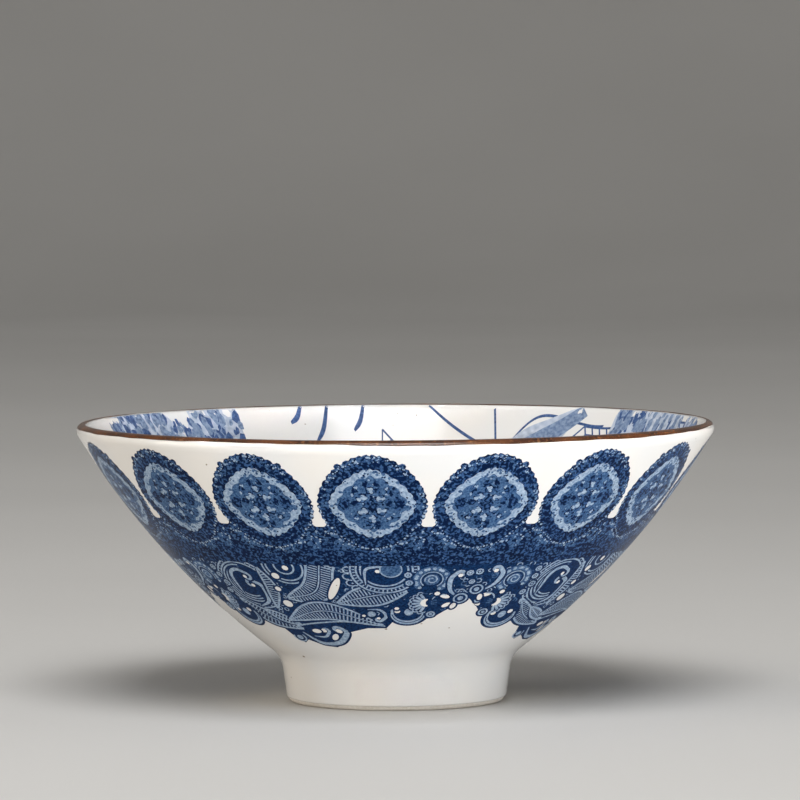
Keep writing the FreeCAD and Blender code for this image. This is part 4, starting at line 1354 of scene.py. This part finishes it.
    def far_side(self):
        """Draw the wall, rocks, hills and trees at the back."""
        zigzag = ((-0.045, 0.89), (0.22, 0.71), (0.64, 0.66), (0.92, 0.37))
        for start, end in zip(zigzag, zigzag[1:]):
            run = math.dist(start, end)
            self.area(start, end, raised(end, -0.03), raised(start, -0.03), ink=SHADE)
            self.fence(start, end, 0.055, round(run / 0.035))
        self.line((0.115, 0.99), (0.2, 0.93), (0.335, 0.835), width=0.3)
        self.line((0.335, 0.82), (0.5, 0.84), (0.7, 0.66), width=0.26)
        self.straight((0.34, 0.93), (0.34, 0.76), width=0.3)
        self.area((0.245, 0.78), (0.4, 0.84), (0.52, 0.82), (0.64, 0.76), (0.45, 0.745),
                  ink=WASH, smooth=True)
        self.area((0.37, 0.8), (0.5, 0.765), (0.65, 0.735), (0.635, 0.775), (0.5, 0.81), (0.38, 0.83),
                  ink=SHADE)
        for rock in ((-0.56, 0.66, 0.06, 0.05), (-0.48, 0.69, 0.06, 0.07), (-0.4, 0.73, 0.06, 0.08),
                     (-0.31, 0.76, 0.07, 0.09), (-0.22, 0.79, 0.06, 0.08), (-0.14, 0.81, 0.06, 0.06),
                     (-0.07, 0.83, 0.05, 0.05)):
            self.rock(*rock)
        self.thicket(123, 136, 0.87, 1.0, 90)
        self.thicket(142, 163, 0.87, 1.0, 190)
        for x, tall in ((-0.325, 0.05), (-0.235, 0.09), (-0.11, 0.06)):
            y = math.sqrt(1 - x**2)
            self.line((x, y), (x - 0.01, y - tall * 0.6), (x - 0.03, y - tall), width=0.6, ends=(0.7, 0.5))
        for y, left, right in ((0.63, -0.62, -0.25), (0.61, -0.5, -0.1), (0.66, -0.3, -0.02)):
            self.line((left, y), ((left + right) / 2, y + 0.01), (right, y), width=0.2, ends=(0.3, 0.3))

    def left_side(self):
        """Draw the path and the climbing tree with hanging sprays on the left."""
        for step in range(7):
            y = 0.12 - 0.022 * step
            self.line((-0.62 + 0.03 * step, y), (-0.5 + 0.03 * step, y - 0.012),
                      (-0.38 + 0.02 * step, y + 0.006), (-0.25, y - 0.01), width=0.22, ends=(0.4, 0.4))
        self.area((-0.6, 0.09), (-0.4, 0.06), (-0.24, 0.04), (-0.24, -0.02), (-0.42, 0.0), (-0.55, 0.03),
                  ink=WASH, smooth=True)
        for x, y, wide, high, count in ((-0.72, 0.55, 0.13, 0.1, 200), (-0.62, 0.68, 0.1, 0.07, 120),
                                        (-0.84, 0.36, 0.09, 0.13, 200), (-0.9, 0.12, 0.06, 0.16, 160),
                                        (-0.76, 0.2, 0.08, 0.08, 110), (-0.92, -0.12, 0.05, 0.14, 120),
                                        (-0.62, 0.42, 0.07, 0.05, 70)):
            self.area(*oval(x, y, wide * 0.8, high * 0.8, 0.7), ink=WASH, smooth=True)
            self.leaves((x, y), (wide, high), count, 0.42)
        for x, y, length in ((-0.6, 0.36, 0.2), (-0.68, 0.13, 0.26), (-0.76, 0.1, 0.3), (-0.84, 0.0, 0.34),
                             (-0.53, 0.62, 0.16), (-0.7, 0.44, 0.14), (-0.9, -0.1, 0.3), (-0.5, 0.5, 0.1)):
            self.spray((x, y), length, 13)
        for places in (((-0.97, 0.05), (-0.9, 0.3), (-0.76, 0.5), (-0.55, 0.66)),
                       ((-0.97, -0.1), (-0.88, 0.08), (-0.76, 0.16)),
                       ((-0.93, 0.25), (-0.8, 0.33), (-0.66, 0.38))):
            self.line(*places, width=0.55, ends=(1.0, 0.4))


def build_garden():
    """Build the printed garden inside the bowl."""
    inks = {
        LINE: ink_material("garden_line", (0.035, 0.075, 0.20), (0.08, 0.14, 0.30), 0.4, 0.2),
        SHADE: ink_material("garden_shade", (0.14, 0.21, 0.36), (0.26, 0.34, 0.48), 0.5, 0.2),
        WASH: ink_material("garden_wash", (0.40, 0.48, 0.62), (0.56, 0.61, 0.70), 0.9, 0.25),
    }
    garden = Garden()
    garden.left_side()
    garden.far_side()
    garden.right_side()
    garden.pond()
    garden.banks()
    garden.pavilion()
    steps = np.arange(-GARDEN_RADIUS, GARDEN_RADIUS, GARDEN_STEP)
    grid = np.array([(x, y) for x in steps for y in steps])
    points, corners, laid = garden.drawing.triangles(grid)
    inside = np.hypot(*points[corners].mean(axis=1).T) < GARDEN_RADIUS - GARDEN_TRIM
    sheet = points, corners[inside], [ink for ink, kept in zip(laid, inside) if kept], grid
    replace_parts(film("garden_film", sheet, inks, onto_inside), "garden_print")


# ---------------------------------------------------------------- pieces


def build_shells():
    """Build the porcelain, its glaze coats and the brown rim."""
    glaze = glaze_material()
    porcelain = porcelain_material()
    for node in ("bowl_body", "foot_ring"):
        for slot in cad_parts[node].material_slots:
            slot.material = porcelain
    outer = coat_section(outer_profile(), GLAZE, round_end=False)
    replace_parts(turned("outer_glaze_skin", outer, glaze), "outer_glaze")
    inner = coat_section(inner_profile(), GLAZE, round_start=False, round_end=False)
    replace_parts(turned("inner_glaze_skin", inner, glaze), "inner_glaze")
    well = coat_section(well_profile(), GLAZE, round_start=False)
    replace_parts(turned("foot_well_skin", well, glaze), "foot_well_glaze")
    angles = np.arange(SEGMENTS) * 2 * math.pi / SEGMENTS
    rims = [
        coat_section(rim_profile(wander(angle, 1), wander(angle, 2)), FILM_SUNK, RIM_PROUD,
                     rings=RIM_RINGS)
        for angle in angles
    ]
    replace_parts(turned("rim_skin", rims, rim_material()), "rim_glaze")


def wander(angle, salt):
    """Give how far the brown rim's edge strays at an angle."""
    waves = ((3, 0.9), (7, 0.6), (16, 0.35), (29, 0.25), (53, 0.2))
    return RIM_WANDER * sum(
        share * math.sin(count * angle + salt * count**1.5) for count, share in waves
    )


STAGE_FLAT = 1400.0                 # the floor is flat out to this radius
STAGE_RISE = 900.0                  # then curves up over this distance
STAGE_TOP = 2600.0                  # and goes on up to here
STAGE_STEPS = 96


def build_stage():
    """Set the cup on a pale floor that curves up all round."""
    paint = Paint("floor", 0.7)
    tint = paint.between(paint.noise(180), 0.3, 0.7)
    paint.colour(paint.blend(tint, (0.62, 0.61, 0.59), (0.66, 0.65, 0.63)))
    profile = [(radius, 0.0) for radius in np.linspace(200, STAGE_FLAT, 5)]
    for turn in np.linspace(0, math.pi / 2, 13)[1:]:
        profile.append((STAGE_FLAT + STAGE_RISE * math.sin(turn), STAGE_RISE * (1 - math.cos(turn))))
    profile.append((STAGE_FLAT + STAGE_RISE, STAGE_TOP))
    vertices = [(0.0, 0.0, 0.0)]
    for radius, height in profile:
        for step in range(STAGE_STEPS):
            angle = step * 2 * math.pi / STAGE_STEPS
            vertices.append((radius * math.cos(angle), radius * math.sin(angle), height))
    following = [(step + 1) % STAGE_STEPS for step in range(STAGE_STEPS)]
    faces = [(0, 1 + step, 1 + beside) for step, beside in enumerate(following)]
    for ring in range(len(profile) - 1):
        low, high = 1 + ring * STAGE_STEPS, 1 + (ring + 1) * STAGE_STEPS
        faces += [(low + step, high + step, high + beside, low + beside)
                  for step, beside in enumerate(following)]
    new_object("floor", vertices, faces, [paint.material])


ROOM_LIGHT = 0.26
WIDE_SPREAD = 90                    # a light with less spread than this is kept out of reflections


def soft_light(name, place, size, power, colour=(1.0, 1.0, 1.0), height=None, aim_height=0.02,
               spread=180):
    """Hang a soft light that looks at the cup. Its place and sizes are in metres.

    A narrow spread makes a soft-edged beam, which is kept out of reflections.
    """
    lamp = bpy.data.lights.new(name, "AREA")
    lamp.shape = "RECTANGLE"
    lamp.size = size
    lamp.size_y = height or size
    lamp.energy = power
    lamp.color = colour
    lamp.spread = math.radians(spread)
    holder = bpy.data.objects.new(name, lamp)
    bpy.context.scene.collection.objects.link(holder)
    holder.location = place
    aim = Vector((0, 0, aim_height)) - Vector(place)
    holder.rotation_euler = aim.to_track_quat("-Z", "Y").to_euler()
    holder.visible_glossy = spread > WIDE_SPREAD


def build_lights():
    """Light the cup from above and from both sides, cooler from the right, and all round a little."""
    world = bpy.data.worlds.new("world")
    world.use_nodes = True
    background = world.node_tree.nodes["Background"]
    background.inputs["Color"].default_value = (1.0, 1.0, 1.0, 1.0)
    background.inputs["Strength"].default_value = ROOM_LIGHT
    bpy.context.scene.view_settings.view_transform = "Standard"
    bpy.context.scene.world = world
    soft_light("key", (0.634, -0.755, 0.085), 0.3, 0.165, height=0.14, aim_height=0.085, spread=8)
    soft_light("fill", (-1.03, -0.18, 0.2), 0.5, 4.6, (1.0, 0.92, 0.82))
    soft_light("top", (0.05, -0.6, 0.9), 0.6, 9.5)


CAMERA_LENS = 253.8                 # in millimetres, with a frame 36 mm wide
CAMERA_DISTANCE = 0.797             # metres from the place it looks at
CAMERA_TARGET = (0.00069, 0.0, 0.0425)
CAMERA_PITCH = math.radians(3.15)   # it looks down by this much
CAMERA_ROLL = math.radians(-0.3)


def build_camera():
    """Look at the cup from in front and a little above, through a long lens."""
    camera = bpy.data.cameras.new("camera")
    camera.sensor_width = 36.0
    camera.lens = CAMERA_LENS
    holder = bpy.data.objects.new("camera", camera)
    bpy.context.scene.collection.objects.link(holder)
    away = Vector((0.0, -math.cos(CAMERA_PITCH), math.sin(CAMERA_PITCH)))
    holder.location = Vector(CAMERA_TARGET) + CAMERA_DISTANCE * away
    tilt = Matrix.Rotation(math.pi / 2 - CAMERA_PITCH, 4, "X")
    roll = Matrix.Rotation(CAMERA_ROLL, 4, "Z")
    holder.rotation_euler = (tilt @ roll).to_euler()
    bpy.context.scene.camera = holder


build_shells()
build_wall_prints()
build_garden()
build_stage()
build_lights()
build_camera()
